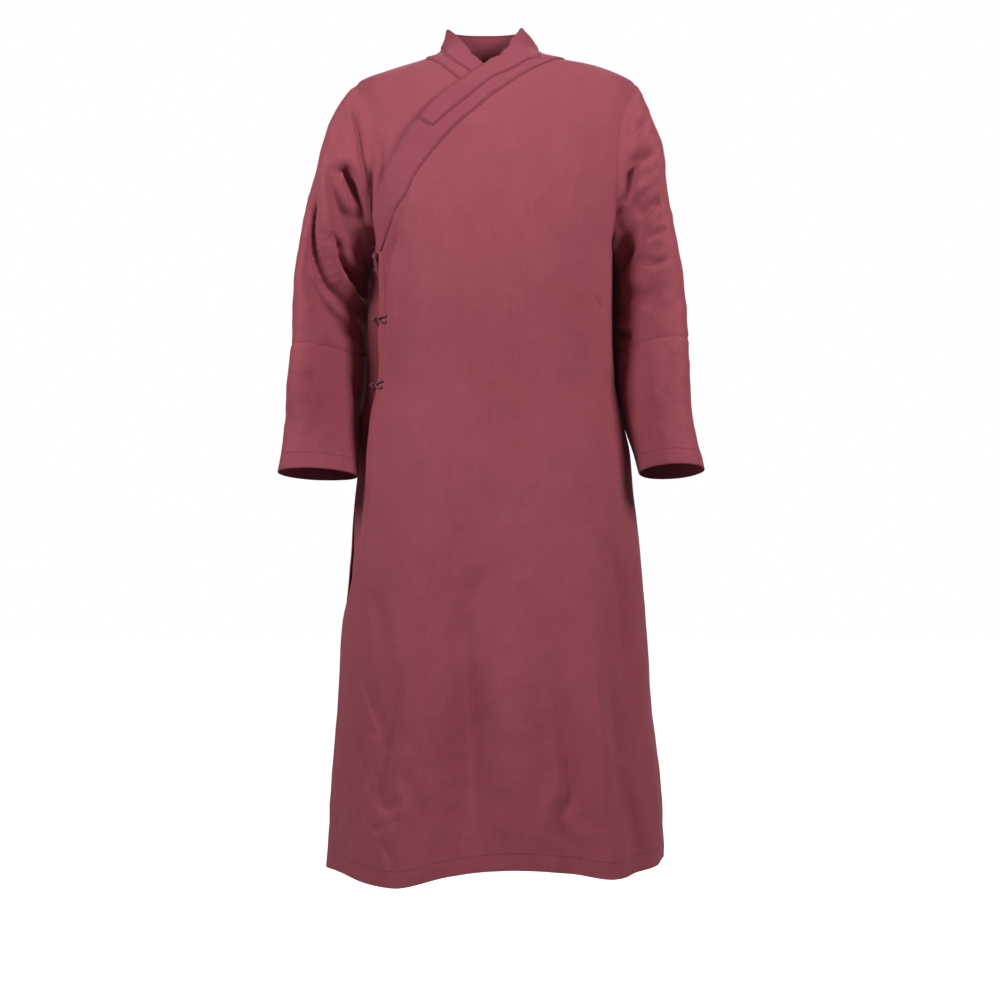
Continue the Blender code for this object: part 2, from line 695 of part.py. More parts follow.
def make_panels(collection, material):
    """The back, the outer front and the under front."""
    heights = body_heights()

    behind = side_angle(heights, back=True)
    outer, inner = panel(heights, 180.0 - behind, 180.0 + behind, BACK_COLUMNS, side_flare)
    fit_armhole(outer, inner, heights, 0, 1, True)
    fit_armhole(outer, inner, heights, -1, -1, True)
    make_wall("back_panel", outer, inner, False, material, collection)

    ahead = side_angle(heights)
    edge = smooth_table(OUTER_EDGE, heights)[..., 0]
    outer, inner = panel(heights, edge, ahead, OUTER_COLUMNS, outer_layer)
    fit_armhole(outer, inner, heights, -1, 1, False)
    make_wall("outer_front", outer, inner, False, material, collection)

    free = smooth_table(UNDER_EDGE, heights)[..., 0]
    outer, inner = panel(heights, -ahead, free, UNDER_COLUMNS, under_side_layer)
    fit_armhole(outer, inner, heights, 0, -1, False)
    make_wall("under_front", outer, inner, False, material, collection)


def make_sleeves(collection, material):
    """Each sleeve: the upper piece from the armhole and the lengthening piece to the cuff."""
    psi = np.arange(RING_POINTS) * 360.0 / RING_POINTS
    for name, side in (("left", 1), ("right", -1)):
        last = float(len(LEFT_RINGS))
        upper = np.concatenate([[0.0, 0.5], np.arange(1.0, SEAM_RING + 0.5)])
        lower = np.linspace(SEAM_RING, last, CUFF_RINGS)
        lower[0] += SEAM_GAP / SEAM_RING_LENGTH
        for piece, stations in (("sleeve", upper), ("cuff_piece", lower)):
            s = np.broadcast_to(stations[:, None], (len(stations), RING_POINTS))
            turn = np.broadcast_to(psi, s.shape)
            base = np.array([sleeve_base(side, turn[i], s[i]) for i in range(len(s))])
            normals = np.array([sleeve_normal(side, turn[i], s[i]) for i in range(len(s))])
            inward = ease(s / CALM_RINGS) * sleeve_folds(side, base)
            outer = base - normals * inward[..., None]
            inner = outer - normals * CLOTH
            if piece == "sleeve":
                joint = mitre(side, psi)
                inner[0] = outer[0] - CLOTH * joint
                tangent = np.roll(outer[0], -1, axis=0) - np.roll(outer[0], 1, axis=0)
                off = unit(np.cross(tangent, joint)) * -side
                off = off * np.sign(np.sum(off * (outer[1] - outer[0]), axis=-1, keepdims=True))
                outer[0] += off * SEAM_GAP
                inner[0] += off * SEAM_GAP
            make_wall(f"{piece}_{name}", outer, inner, True, material, collection)


def strip(table, gap, end_bulge=0.0):
    """Outer and inner grids of a band laid on the fronts and round the neck."""
    keyed = [(float(i), *row) for i, row in enumerate(table)]
    fine = np.linspace(0.0, len(table) - 1.0, BAND_SAMPLES * len(table))
    middle = smooth_table(keyed, fine)
    line = form_base(0.5 * (middle[:, 0] + middle[:, 2]), 0.5 * (middle[:, 1] + middle[:, 3]))
    run = np.concatenate([[0.0], np.cumsum(np.linalg.norm(np.diff(line, axis=0), axis=1))])
    stations = np.interp(np.linspace(0.0, run[-1], round(run[-1] / BAND_STEP) + 1), run, fine)
    edges = smooth_table(keyed, stations)
    share = np.linspace(0.0, 1.0, BAND_COLUMNS + 1)
    low_phi, low_z, high_phi, high_z = (edges[:, i, None] for i in range(4))
    phi = low_phi + (high_phi - low_phi) * share
    z = low_z + (high_z - low_z) * share
    step = end_bulge * np.sin(np.pi * share)
    phi[0] += (phi[0] - phi[1]) * step
    z[0] += (z[0] - z[1]) * step
    base = np.where(phi <= 180.0, outer_layer(phi, z), under_layer(phi, z))
    inner = form(phi, z, base + gap)
    outer = form(phi, z, base + gap + BAND_CLOTH)
    return outer, inner


def make_bands(collection, material):
    """The wide outer band and the narrow neckband that lies and stands on it."""
    outer, inner = strip(OUTER_BAND, BAND_GAP)
    make_wall("outer_band", outer, inner, False, material, collection)
    outer, inner = strip(NECKBAND, 2.0 * BAND_GAP + BAND_CLOTH, NECKBAND_END_BULGE)
    make_wall("neckband", outer, inner, False, material, collection)


def make_tube(name, path, radii, sides, material, collection):
    """A round cord of changing radius along a path, closed by points at its ends."""
    path = np.array(path)
    radii = np.array(radii)
    ahead = unit(np.gradient(path, axis=0))
    upright = abs(ahead[0][2]) > abs(ahead[0][1])
    across = np.cross(ahead[0], [0.0, 1.0, 0.0] if upright else [0.0, 0.0, 1.0])
    vertices = [path[0]]
    turns = 2.0 * np.pi * np.arange(sides) / sides
    for point, way, radius in zip(path[1:-1], ahead[1:-1], radii[1:-1]):
        across = unit(across - way * np.dot(across, way))
        other = np.cross(way, across)
        vertices.extend(point + radius * (np.cos(a) * across + np.sin(a) * other) for a in turns)
    vertices.append(path[-1])
    rings = len(path) - 2
    faces = [[0, 1 + (i + 1) % sides, 1 + i] for i in range(sides)]
    for ring in range(rings - 1):
        start = 1 + ring * sides
        for i in range(sides):
            j = (i + 1) % sides
            faces.append([start + i, start + j, start + sides + j, start + sides + i])
    start = 1 + (rings - 1) * sides
    faces.extend([start + i, start + (i + 1) % sides, len(vertices) - 1] for i in range(sides))
    return add_object(name, vertices, faces, material, collection)


def make_buttons(collection, material):
    """Two knot buttons: a cord loop on the outer front's edge, and a knob on a short leg beside it."""
    for number, height in enumerate(BUTTON_HEIGHTS, start=1):
        edge = float(smooth_table(OUTER_EDGE, height)[..., 0])
        turns = np.linspace(-1.0, 1.0, LOOP_POINTS)
        bend = np.sqrt(np.clip(1.0 - turns**2, 0.0, 1.0))
        phi = edge + BUTTON_LOOP_LENGTH - (BUTTON_LOOP_LENGTH - 1.0) * bend
        z = height + BUTTON_LOOP_HALF * np.sin(0.5 * np.pi * turns)
        lift = LAP_BELOW + SEAM_GAP + BUTTON_CORD_RADIUS
        path = form(phi, z, np.full(phi.shape, lift))
        radii = np.full(len(path), BUTTON_CORD_RADIUS)
        make_tube(f"button_loop_{number}", path, radii, CORD_SIDES, material, collection)

        share, size, lift = np.array(KNOB_PROFILE).T
        leg_end = edge - BUTTON_LEG
        tip = edge - BUTTON_SEAT + KNOB_REACH
        phi = leg_end + (tip - leg_end) * share
        z = np.full(phi.shape, height)
        path = form(phi, z, SEAM_GAP + lift + side_flare(phi, z) + BUTTON_LIFT)
        make_tube(f"button_knob_{number}", path, BUTTON_RADIUS * size, KNOT_SIDES, material, collection)


def make_tie(collection, material):
    """The side tie: a small knot at the corner of the outer front and two short ends."""
    share = np.linspace(0.0, 1.0, TIE_POINTS)
    z = TIE_Z + TIE_KNOT_RADIUS * (1.0 - 2.0 * share)
    path = form(np.full(z.shape, TIE_ANGLE), z, np.full(z.shape, TIE_LIFT))
    radii = TIE_KNOT_RADIUS * np.sqrt(np.clip(1.0 - (1.0 - 2.0 * share) ** 2, 0.0, 1.0))
    make_tube("side_tie_knot", path, radii, KNOT_SIDES, material, collection)
    for number, (start, end, length) in enumerate(TIE_ENDS, start=1):
        z = TIE_Z - TIE_KNOT_RADIUS + TIE_END_TUCK - length * share
        phi = start + (end - start) * share
        lift = TIE_LIFT + (TIE_END_RADIUS - TIE_LIFT) * ease(1.6 * share)
        path = form(phi, z, lift)
        radii = TIE_END_RADIUS * np.array(TIE_END_TAPER)
        make_tube(f"side_tie_end_{number}", path, radii, CORD_SIDES, material, collection)


def main():
    """Clear the scene and build the robe."""
    for old in list(bpy.data.objects):
        bpy.data.objects.remove(old, do_unlink=True)
    collection = bpy.data.collections.new("monk_robe")
    bpy.context.scene.collection.children.link(collection)
    robe = make_material("maroon_linen", ROBE_COLOUR)
    band = make_material("maroon_linen_band", BAND_COLOUR)
    cord = make_material("maroon_cord", CORD_COLOUR)
    make_panels(collection, robe)
    make_sleeves(collection, robe)
    make_bands(collection, band)
    make_buttons(collection, cord)
    make_tie(collection, cord)


main()
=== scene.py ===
"""Buddhist monk robe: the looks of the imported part.

Every cloth piece is a thin shell worked out with numpy on the form that the solids have. A point of the
body is found from an angle phi (0 in front, 90 at the wearer's left, 180 behind) and a height z, and a
point of a sleeve from a ring angle psi (0 outside, 90 in front, 180 inside, 270 behind) and a ring
number s from the armhole to the cuff. Folds and creases move the points along the normal.
"""

import bpy
import numpy as np
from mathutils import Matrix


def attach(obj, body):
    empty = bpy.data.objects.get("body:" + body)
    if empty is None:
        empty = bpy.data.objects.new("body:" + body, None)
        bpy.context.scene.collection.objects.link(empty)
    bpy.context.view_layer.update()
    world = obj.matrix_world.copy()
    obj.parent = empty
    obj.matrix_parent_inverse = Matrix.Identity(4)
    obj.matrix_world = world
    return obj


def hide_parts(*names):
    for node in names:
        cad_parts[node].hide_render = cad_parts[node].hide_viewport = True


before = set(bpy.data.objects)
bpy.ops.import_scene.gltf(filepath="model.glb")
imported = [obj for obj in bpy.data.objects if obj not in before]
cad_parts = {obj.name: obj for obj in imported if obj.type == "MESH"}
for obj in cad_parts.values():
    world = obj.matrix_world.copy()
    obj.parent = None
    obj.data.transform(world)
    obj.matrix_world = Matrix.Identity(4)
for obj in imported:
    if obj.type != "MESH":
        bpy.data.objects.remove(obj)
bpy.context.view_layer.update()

# Cloth, in metres: thickness of the robe and of the bands, spacing at seams and under a band
SHELL = 0.0015
BAND_CLOTH = 0.0015
SEAM_GAP = 0.0003
BAND_GAP = 0.0010

# Overlap of the two fronts: spacing at the collar and below it, outer face to outer face
LAP_AT_COLLAR = 0.0078
LAP_BELOW = 0.0028
LAP_TOP_Z = -0.125
LAP_LOW_Z = -0.175
LAP_RIGHT = -30.0
LAP_LEFT = 25.0
UNDER_HANG = 0.008
UNDER_HANG_TOP_Z = -0.62
UNDER_HANG_LOW_Z = -0.95

# Body sections, each a rounded outline with this power
SECTION_POWER = 2.3
# height, centre x, half width, front depth, back depth
SECTIONS = (
    (0.0600, -0.0080, 0.0560, 0.043, 0.051),
    (0.0480, -0.0080, 0.0590, 0.046, 0.054),
    (0.0300, -0.0030, 0.0680, 0.053, 0.062),
    (0.0090, -0.0005, 0.0815, 0.060, 0.070),
    (0.0010, 0.0010, 0.0940, 0.065, 0.076),
    (-0.0060, 0.0050, 0.1230, 0.069, 0.081),
    (-0.0160, 0.0155, 0.1685, 0.075, 0.088),
    (-0.0250, 0.0143, 0.1953, 0.081, 0.094),
    (-0.0330, 0.0110, 0.2160, 0.085, 0.098),
    (-0.0410, 0.0100, 0.2290, 0.089, 0.102),
    (-0.0700, 0.0100, 0.2350, 0.099, 0.112),
    (-0.1100, 0.0090, 0.2360, 0.110, 0.122),
    (-0.1800, 0.0080, 0.2330, 0.125, 0.130),
    (-0.2600, 0.0070, 0.2180, 0.135, 0.132),
    (-0.3300, 0.0060, 0.1990, 0.140, 0.128),
    (-0.4300, 0.0060, 0.1970, 0.141, 0.124),
    (-0.5300, 0.0070, 0.1980, 0.142, 0.126),
    (-0.6000, 0.0070, 0.2120, 0.144, 0.134),
    (-0.6640, 0.0080, 0.2250, 0.147, 0.144),
    (-0.7140, 0.0080, 0.2300, 0.150, 0.150),
    (-0.8300, 0.0100, 0.2400, 0.157, 0.158),
    (-0.9630, 0.0100, 0.2520, 0.167, 0.168),
    (-1.0620, 0.0090, 0.2580, 0.175, 0.176),
    (-1.1620, 0.0100, 0.2680, 0.184, 0.185),
    (-1.2280, 0.0110, 0.2740, 0.190, 0.190),
    (-1.3450, 0.0110, 0.2820, 0.199, 0.199),
)

# Heights of the body
NECKLINE_Z = 0.020
SHOULDER_Z = -0.041
UNDERARM_Z = -0.330
HEM_Z = -1.320
HEM_WAVE_TOP_Z = -0.950
ARMHOLE_MIDDLE = 0.5 * (SHOULDER_Z + UNDERARM_Z)
ARMHOLE_HALF = 0.5 * (SHOULDER_Z - UNDERARM_Z)

# Hem line: angle round the body, height
HEM_LINE = (
    (-98.0, -1.341),
    (-68.0, -1.329),
    (-31.0, -1.339),
    (-12.0, -1.318),
    (5.0, -1.308),
    (22.0, -1.316),
    (38.0, -1.328),
    (58.0, -1.321),
    (82.0, -1.310),
    (110.0, -1.322),
    (135.0, -1.314),
    (160.0, -1.325),
    (185.0, -1.315),
    (210.0, -1.327),
    (235.0, -1.318),
    (262.0, -1.341),
)

# Skirt folds: angle at the hem, angle at the top, spread, height of the top, depth at the hem
SKIRT_FOLDS = (
    (-62.0, -58.0, 12.0, -0.78, -0.007),
    (-30.0, -26.0, 13.0, -0.70, 0.011),
    (-6.5, -4.0, 8.0, -0.72, -0.010),
    (8.0, 6.0, 8.0, -0.80, 0.003),
    (23.0, 14.0, 7.0, -0.82, -0.009),
    (38.0, 33.0, 9.0, -0.75, 0.009),
    (51.0, 45.0, 6.0, -0.74, -0.007),
    (66.0, 62.0, 9.0, -0.80, 0.007),
    (104.0, 100.0, 9.0, -0.74, -0.008),
    (124.0, 120.0, 11.0, -0.66, 0.011),
    (146.0, 144.0, 9.0, -0.72, -0.010),
    (166.0, 168.0, 10.0, -0.66, 0.010),
    (186.0, 184.0, 8.0, -0.76, -0.010),
    (207.0, 206.0, 11.0, -0.68, 0.011),
    (231.0, 236.0, 9.0, -0.74, -0.009),
    (251.0, 252.0, 9.0, -0.80, 0.007),
)

# Edge of the outer front, from the neck to the side tie and down the open side: height, angle
OUTER_EDGE = (
    (0.0200, 82.0),
    (0.0129, 56.1),
    (0.0015, 40.1),
    (-0.0072, 29.1),
    (-0.0138, 12.4),
    (-0.0233, 1.9),
    (-0.0390, -3.3),
    (-0.0570, -9.3),
    (-0.0810, -16.1),
    (-0.1000, -22.8),
    (-0.1230, -29.8),
    (-0.1670, -40.1),
    (-0.1980, -47.1),
    (-0.2360, -54.2),
    (-0.2720, -59.5),
    (-0.3060, -64.1),
    (-0.3235, -66.2),
    (-0.4050, -68.0),
    (-0.4850, -71.0),
    (-0.5670, -71.5),
    (-0.6400, -67.0),
    (-0.7000, -64.0),
    (-0.7800, -64.0),
    (-0.8760, -72.0),
    (-0.9400, -84.0),
    (-1.0000, -90.0),
    (-1.1000, -92.0),
    (-1.3450, -94.0),
)

# Free edge of the under front, hidden below the crossing: height, angle
UNDER_EDGE = (
    (0.0200, -82.0),
    (0.0089, -43.9),
    (-0.0033, -25.0),
    (-0.0147, -15.6),
    (-0.0268, -6.4),
    (-0.0470, 1.0),
    (-0.0750, 8.0),
    (-0.1200, 17.0),
    (-0.2000, 25.0),
    (-0.3000, 30.0),
    (-1.3450, 32.0),
)

# The back's hemmed edge stands out at the open side: height, distance
SIDE_FLARE = (
    (-0.345, 0.000),
    (-0.400, 0.009),
    (-0.450, 0.013),
    (-0.530, 0.014),
    (-0.610, 0.008),
    (-0.700, 0.000),
)
FLARE_FRONT = -80.0
FLARE_MIDDLE = -90.0
FLARE_BACK = -112.0

# The under front draws back beside the outer front's free edge: depth, angle and fade at the hemmed edge,
# reach and fade past the free edge, height and fade at the top and at the foot
GROOVE_DEPTH = 0.0100
GROOVE_BACK = (-87.0, 5.0)
GROOVE_FRONT = (9.0, 7.0)
GROOVE_TOP = (-0.345, 0.03)
GROOVE_FOOT = (-0.86, 0.12)

# Neckband. Angles run on past 180 round the back of the neck.
# angle and height of the lower edge, angle and height of the upper edge
NECKBAND = (
    (-21.4, -0.1324, -27.0, -0.1166),
    (-15.8, -0.1122, -21.0, -0.0885),
    (-9.7, -0.0898, -14.6, -0.0675),
    (-4.6, -0.0690, -9.6, -0.0510),
    (-0.9, -0.0523, -5.2, -0.0350),
    (1.8, -0.0440, -2.9, -0.0215),
    (5.0, -0.0364, 4.3, -0.0070),
    (11.2, -0.0206, 17.2, 0.0060),
    (24.5, -0.0115, 26.0, 0.0210),
    (45.8, -0.0009, 50.0, 0.0380),
    (68.5, 0.0075, 70.0, 0.0470),
    (90.0, 0.0150, 90.0, 0.0490),
    (112.0, 0.0150, 112.0, 0.0500),
    (135.0, 0.0150, 135.0, 0.0515),
    (158.0, 0.0150, 158.0, 0.0525),
    (180.0, 0.0150, 180.0, 0.0530),
    (202.0, 0.0150, 202.0, 0.0525),
    (225.0, 0.0150, 225.0, 0.0515),
    (248.0, 0.0150, 248.0, 0.0500),
    (270.0, 0.0150, 270.0, 0.0485),
    (292.6, 0.0094, 292.0, 0.0445),
    (312.9, 0.0006, 314.0, 0.0320),
    (329.5, -0.0098, 328.1, 0.0180),
    (340.4, -0.0212, 343.2, 0.0000),
    (350.0, -0.0339, 352.5, -0.0190),
    (355.5, -0.0480, 359.5, -0.0350),
    (361.0, -0.0640, 366.5, -0.0500),
    (366.5, -0.0840, 372.5, -0.0700),
    (372.0, -0.1060, 378.0, -0.0920),
)
# How far the neckband's end on the chest stands out in the middle, as a share of its first rows' length
NECKBAND_END_BULGE = 0.18

# Outer band: angle and height of the inner edge, angle and height of the outer edge
OUTER_BAND = (
    (-65.9, -0.3235, -62.5, -0.3260),
    (-63.8, -0.3061, -56.0, -0.3084),
    (-59.2, -0.2730, -46.8, -0.2768),
    (-56.2, -0.2510, -40.5, -0.2540),
    (-51.8, -0.2260, -35.6, -0.2370),
    (-46.8, -0.1983, -31.8, -0.2160),
    (-39.9, -0.1672, -26.8, -0.1925),
    (-29.6, -0.1230, -20.6, -0.1660),
    (-22.6, -0.1004, -15.4, -0.1430),
    (-15.9, -0.0808, -9.8, -0.1200),
    (-9.1, -0.0573, -4.2, -0.0970),
    (-3.2, -0.0391, 0.4, -0.0740),
    (2.1, -0.0237, 4.6, -0.0560),
    (12.5, -0.0139, 11.0, -0.0370),
    (29.4, -0.0073, 20.3, -0.0220),
    (40.3, 0.0012, 32.8, -0.0134),
    (56.0, 0.0124, 52.8, -0.0093),
    (72.5, 0.0182, 72.5, -0.0055),
    (90.0, 0.0200, 90.0, -0.0036),
    (112.0, 0.0200, 111.4, -0.0074),
    (135.0, 0.0200, 134.3, -0.0099),
    (158.0, 0.0200, 157.6, -0.0115),
    (180.0, 0.0200, 179.9, -0.0119),
    (202.0, 0.0200, 201.7, -0.0109),
    (225.0, 0.0200, 224.4, -0.0077),
    (248.0, 0.0200, 247.7, -0.0039),
    (270.0, 0.0200, 270.0, -0.0010),
    (288.2, 0.0172, 290.2, -0.0039),
    (304.6, 0.0121, 308.3, -0.0089),
    (319.6, 0.0063, 323.6, -0.0157),
    (333.4, -0.0020, 335.6, -0.0255),
    (344.2, -0.0144, 344.5, -0.0389),
    (353.4, -0.0267, 349.5, -0.0560),
    (360.8, -0.0465, 355.5, -0.0760),
    (367.8, -0.0745, 362.5, -0.0980),
)

# Sleeves
RING_HALF_DEPTH = 0.074
SEAM_RING = 11.0
SEAM_RING_LENGTH = 0.040
CALM_RINGS = 1.5
# outer x, outer z, inner x, inner z, centre y, half depth, forward tilt in degrees, swing: how far the
# inner side lies behind the centre and the outer side in front of it
LEFT_RINGS = (
    (0.2460, -0.050, 0.2085, -0.334, -0.002, 0.079, 0.0, 0.004),
    (0.2568, -0.075, 0.2115, -0.339, -0.003, 0.080, 0.0, 0.012),
    (0.2696, -0.112, 0.2115, -0.346, -0.005, 0.080, 0.0, 0.024),
    (0.2822, -0.155, 0.2085, -0.354, -0.007, 0.077, 0.0, 0.036),
    (0.2892, -0.205, 0.2055, -0.364, -0.008, 0.073, 0.5, 0.046),
    (0.2960, -0.255, 0.2030, -0.376, -0.009, 0.070, 1.0, 0.053),
    (0.3026, -0.305, 0.2015, -0.392, -0.011, 0.067, 2.0, 0.057),
    (0.3100, -0.355, 0.2010, -0.413, -0.014, 0.064, 3.0, 0.059),
    (0.3156, -0.400, 0.2010, -0.439, -0.018, 0.062, 5.0, 0.060),
    (0.3182, -0.440, 0.2020, -0.464, -0.023, 0.060, 7.0, 0.060),
    (0.3192, -0.470, 0.2035, -0.488, -0.029, 0.059, 8.0, 0.059),
    (0.3187, -0.515, 0.2065, -0.526, -0.039, 0.058, 9.0, 0.056),
    (0.3204, -0.560, 0.2120, -0.567, -0.050, 0.057, 10.0, 0.050),
    (0.3272, -0.610, 0.2230, -0.614, -0.063, 0.057, 11.0, 0.042),
    (0.3355, -0.648, 0.2345, -0.651, -0.074, 0.057, 12.0, 0.035),
    (0.3435, -0.682, 0.2430, -0.686, -0.084, 0.057, 12.0, 0.030),
)
RIGHT_RINGS = (
    (0.2305, -0.050, 0.1975, -0.334, -0.002, 0.079, 0.0, 0.004),
    (0.2438, -0.070, 0.2025, -0.338, -0.003, 0.080, 0.0, 0.012),
    (0.2582, -0.100, 0.2045, -0.344, -0.005, 0.080, 0.0, 0.024),
    (0.2734, -0.145, 0.2045, -0.352, -0.007, 0.077, 0.0, 0.036),
    (0.2840, -0.195, 0.2035, -0.362, -0.008, 0.073, 0.5, 0.047),
    (0.2960, -0.245, 0.2020, -0.374, -0.009, 0.069, 1.0, 0.055),
    (0.3080, -0.297, 0.2010, -0.389, -0.010, 0.065, 2.0, 0.060),
    (0.3146, -0.350, 0.2005, -0.410, -0.012, 0.062, 3.0, 0.063),
    (0.3180, -0.400, 0.2005, -0.438, -0.016, 0.059, 5.0, 0.065),
    (0.3191, -0.443, 0.2010, -0.466, -0.021, 0.057, 7.0, 0.066),
    (0.3193, -0.480, 0.2020, -0.497, -0.027, 0.055, 8.0, 0.066),
    (0.3215, -0.520, 0.2060, -0.531, -0.036, 0.053, 9.0, 0.065),
    (0.3247, -0.563, 0.2140, -0.571, -0.047, 0.050, 10.0, 0.058),
    (0.3300, -0.608, 0.2190, -0.614, -0.060, 0.047, 11.0, 0.044),
    (0.3358, -0.650, 0.2185, -0.655, -0.073, 0.046, 12.0, 0.034),
    (0.3410, -0.686, 0.2155, -0.691, -0.083, 0.046, 12.0, 0.028),
)

# Large sleeve folds, each a line of (ring angle, ring number) with a spread and a depth
LEFT_FOLDS = (
    (((60.0, 3.0), (95.0, 3.8), (135.0, 4.6)), 0.016, 0.006),
    (((20.0, 5.0), (60.0, 6.4), (110.0, 7.2)), 0.018, 0.005),
    (((50.0, 8.6), (110.0, 8.9), (165.0, 8.2)), 0.015, 0.005),
    (((200.0, 7.0), (245.0, 6.0), (300.0, 4.6)), 0.018, 0.006),
    (((215.0, 9.0), (260.0, 9.0), (310.0, 8.2)), 0.015, 0.004),
)
RIGHT_FOLDS = (
    (((28.0, 4.2), (48.0, 6.4), (100.0, 8.2), (150.0, 8.8)), 0.017, 0.009),
    (((75.0, 3.2), (100.0, 5.0), (140.0, 6.6)), 0.015, 0.006),
    (((20.0, 7.2), (70.0, 9.0), (130.0, 9.9)), 0.015, 0.005),
    (((200.0, 7.6), (250.0, 6.4), (305.0, 4.6)), 0.018, 0.006),
    (((215.0, 9.2), (260.0, 9.0), (310.0, 8.0)), 0.015, 0.004),
)

# Depth along a fold line: the part of a half sine wave that it takes, as its start and its length
FOLD_FADE = (0.12, 0.76)
FOLD_SAMPLES = 24

# Side tie: the cord, the knot's place, its size and its height and depth against that, and its height
# over the cloth
CORD_RADIUS = 0.0019
TIE_ANGLE = -70.4
TIE_Z = -0.332
TIE_KNOT_SIZE = 0.0016
TIE_KNOT_HEIGHT = 1.25
TIE_KNOT_DEPTH = 1.1
TIE_LIFT = 0.0052
# Its hanging ends: how far below the knot's middle they start, the length that the knot hides, their
# height over the cloth and how fast they come down to it, their sway in degrees and in half turns, and
# the taper of the tip
TIE_END_DROP = 0.0032
TIE_END_EXTRA = 0.0026
TIE_END_LIFT = 0.0022
TIE_END_SETTLE = 1.6
TIE_END_SWAY = 0.6
TIE_END_WAVES = 2.4
TIE_END_TAPER = (8.0, 0.35)
# angle at the knot, angle at the tip, length
TIE_ENDS = (
    (-71.3, -73.2, 0.020),
    (-69.5, -68.8, 0.028),
)

# Knot buttons: a loop on the free edge, a ball in it and a leg. Lengths round the body are in degrees.
BUTTON_HEIGHTS = (-0.436, -0.543)
BUTTON_RADIUS = 0.0055
BUTTON_LOOP_LENGTH = 10.0
BUTTON_LOOP_HALF = 0.0048
BUTTON_SEAT = 2.75
BUTTON_SEAT_EXTRA = 3.0
BUTTON_LEG = 13.0
BUTTON_LIFT = 0.0004
# the ball's place along the leg's run, its radius and the ripple, swing and cord of its weave
BALL_PLACE = 0.74
BALL_RADIUS = 0.0037
BALL_RIPPLE = 0.0007
BALL_SWING = 0.95
BALL_CORD_RADIUS = 0.00155
# the share of its run at which the leg goes into the ball
LEG_SHARE = 0.62
LEG_POINTS = 14
LEG_TIP_RADIUS = 0.0017
# share of the leg's run, height over the cloth
LEG_RISE = ((0.0, 0.0018), (0.45, 0.0024), (LEG_SHARE, BUTTON_RADIUS))

# Steps for slopes
ANGLE_STEP = 0.4
HEIGHT_STEP = 0.002
RING_STEP = 0.04
RING_ANGLE_STEP = 1.0


def smooth_table(rows, at):
    """Values of a table's columns at given keys, by a cubic through its rows with limited slopes."""
    table = np.array(sorted(rows), dtype=float)
    keys = table[:, 0]
    values = table[:, 1:]
    at = np.clip(np.asarray(at, dtype=float), keys[0], keys[-1])
    spans = np.diff(keys)
    rises = np.diff(values, axis=0) / spans[:, None]
    slopes = np.zeros_like(values)
    slopes[0] = rises[0]
    slopes[-1] = rises[-1]
    before = rises[:-1]
    after = rises[1:]
    total = before + after
    level = (before * after) <= 0.0
    slopes[1:-1] = np.where(level, 0.0, 2.0 * before * after / np.where(level, 1.0, total))
    place = np.clip(np.searchsorted(keys, at, side="right") - 1, 0, len(keys) - 2)
    span = spans[place]
    t = ((at - keys[place]) / span)[..., None]
    span = span[..., None]
    near = (2 * t**3 - 3 * t**2 + 1) * values[place] + (t**3 - 2 * t**2 + t) * span * slopes[place]
    far = (3 * t**2 - 2 * t**3) * values[place + 1] + (t**3 - t**2) * span * slopes[place + 1]
    return near + far


def ease(t):
    """A soft step from 0 to 1."""
    t = np.clip(t, 0.0, 1.0)
    return t * t * (3.0 - 2.0 * t)


def unit(vectors):
    """Vectors scaled to length 1."""
    return vectors / np.linalg.norm(vectors, axis=-1, keepdims=True)


def wrapped(angle):
    """An angle brought between -180 and 180 degrees."""
    return (np.asarray(angle) + 180.0) % 360.0 - 180.0


def signed_power(values, power):
    """Power of the size, with the sign kept."""
    return np.sign(values) * np.abs(values) ** power


def skirt_folds(phi, z):
    """Distance that the skirt's folds stand out: soft ridges and troughs that deepen to the hem."""
    out = np.zeros(np.broadcast(phi, z).shape)
    for hem_angle, top_angle, spread, top_z, depth in SKIRT_FOLDS:
        down = np.clip((top_z - z) / (top_z - HEM_Z), 0.0, 1.0)
        away = wrapped(phi - (top_angle + (hem_angle - top_angle) * down))
        out = out + depth * ease(down) * np.exp(-((away / spread) ** 2))
    return out


def hem_shift(phi, z):
    """How far a point near the hem moves up or down to follow the hem line."""
    start = HEM_LINE[0][0]
    line = smooth_table(HEM_LINE, (phi - start) % 360.0 + start)[..., 0]
    return (line - HEM_Z) * ease((HEM_WAVE_TOP_Z - z) / (HEM_WAVE_TOP_Z - HEM_Z))


def form_base(phi, z):
    """The body form's points, before layers: rounded sections stacked by height."""
    phi, z = np.broadcast_arrays(np.asarray(phi, dtype=float), np.asarray(z, dtype=float))
    section = smooth_table(SECTIONS, z)
    centre, half, front, back = (section[..., i] for i in range(4))
    power = 2.0 / SECTION_POWER
    turn = np.radians(phi)
    depth = np.where(np.cos(turn) > 0.0, front, back)
    x = centre + half * signed_power(np.sin(turn), power)
    y = -depth * signed_power(np.cos(turn), power)
    return np.stack([x, y, z + hem_shift(phi, z)], axis=-1)


def form_normal(phi, z):
    """Outward normals of the form, from its slopes round and down the body."""
    around = form_base(phi + ANGLE_STEP, z) - form_base(phi - ANGLE_STEP, z)
    up = form_base(phi, z + HEIGHT_STEP) - form_base(phi, z - HEIGHT_STEP)
    return unit(np.cross(around, up))


def form(phi, z, out):
    """Points of the form with its folds, moved out by a distance."""
    moved = skirt_folds(phi, z) + out
    return form_base(phi, z) + form_normal(phi, z) * moved[..., None]


def lap(z):
    """Spacing of the two fronts at a height."""
    return LAP_AT_COLLAR + (LAP_BELOW - LAP_AT_COLLAR) * ease((LAP_TOP_Z - z) / (LAP_TOP_Z - LAP_LOW_Z))


def lap_share(phi):
    """Share of the spacing that the outer front takes: all at the wearer's right, none at the left."""
    return ease((LAP_LEFT - wrapped(phi)) / (LAP_LEFT - LAP_RIGHT))


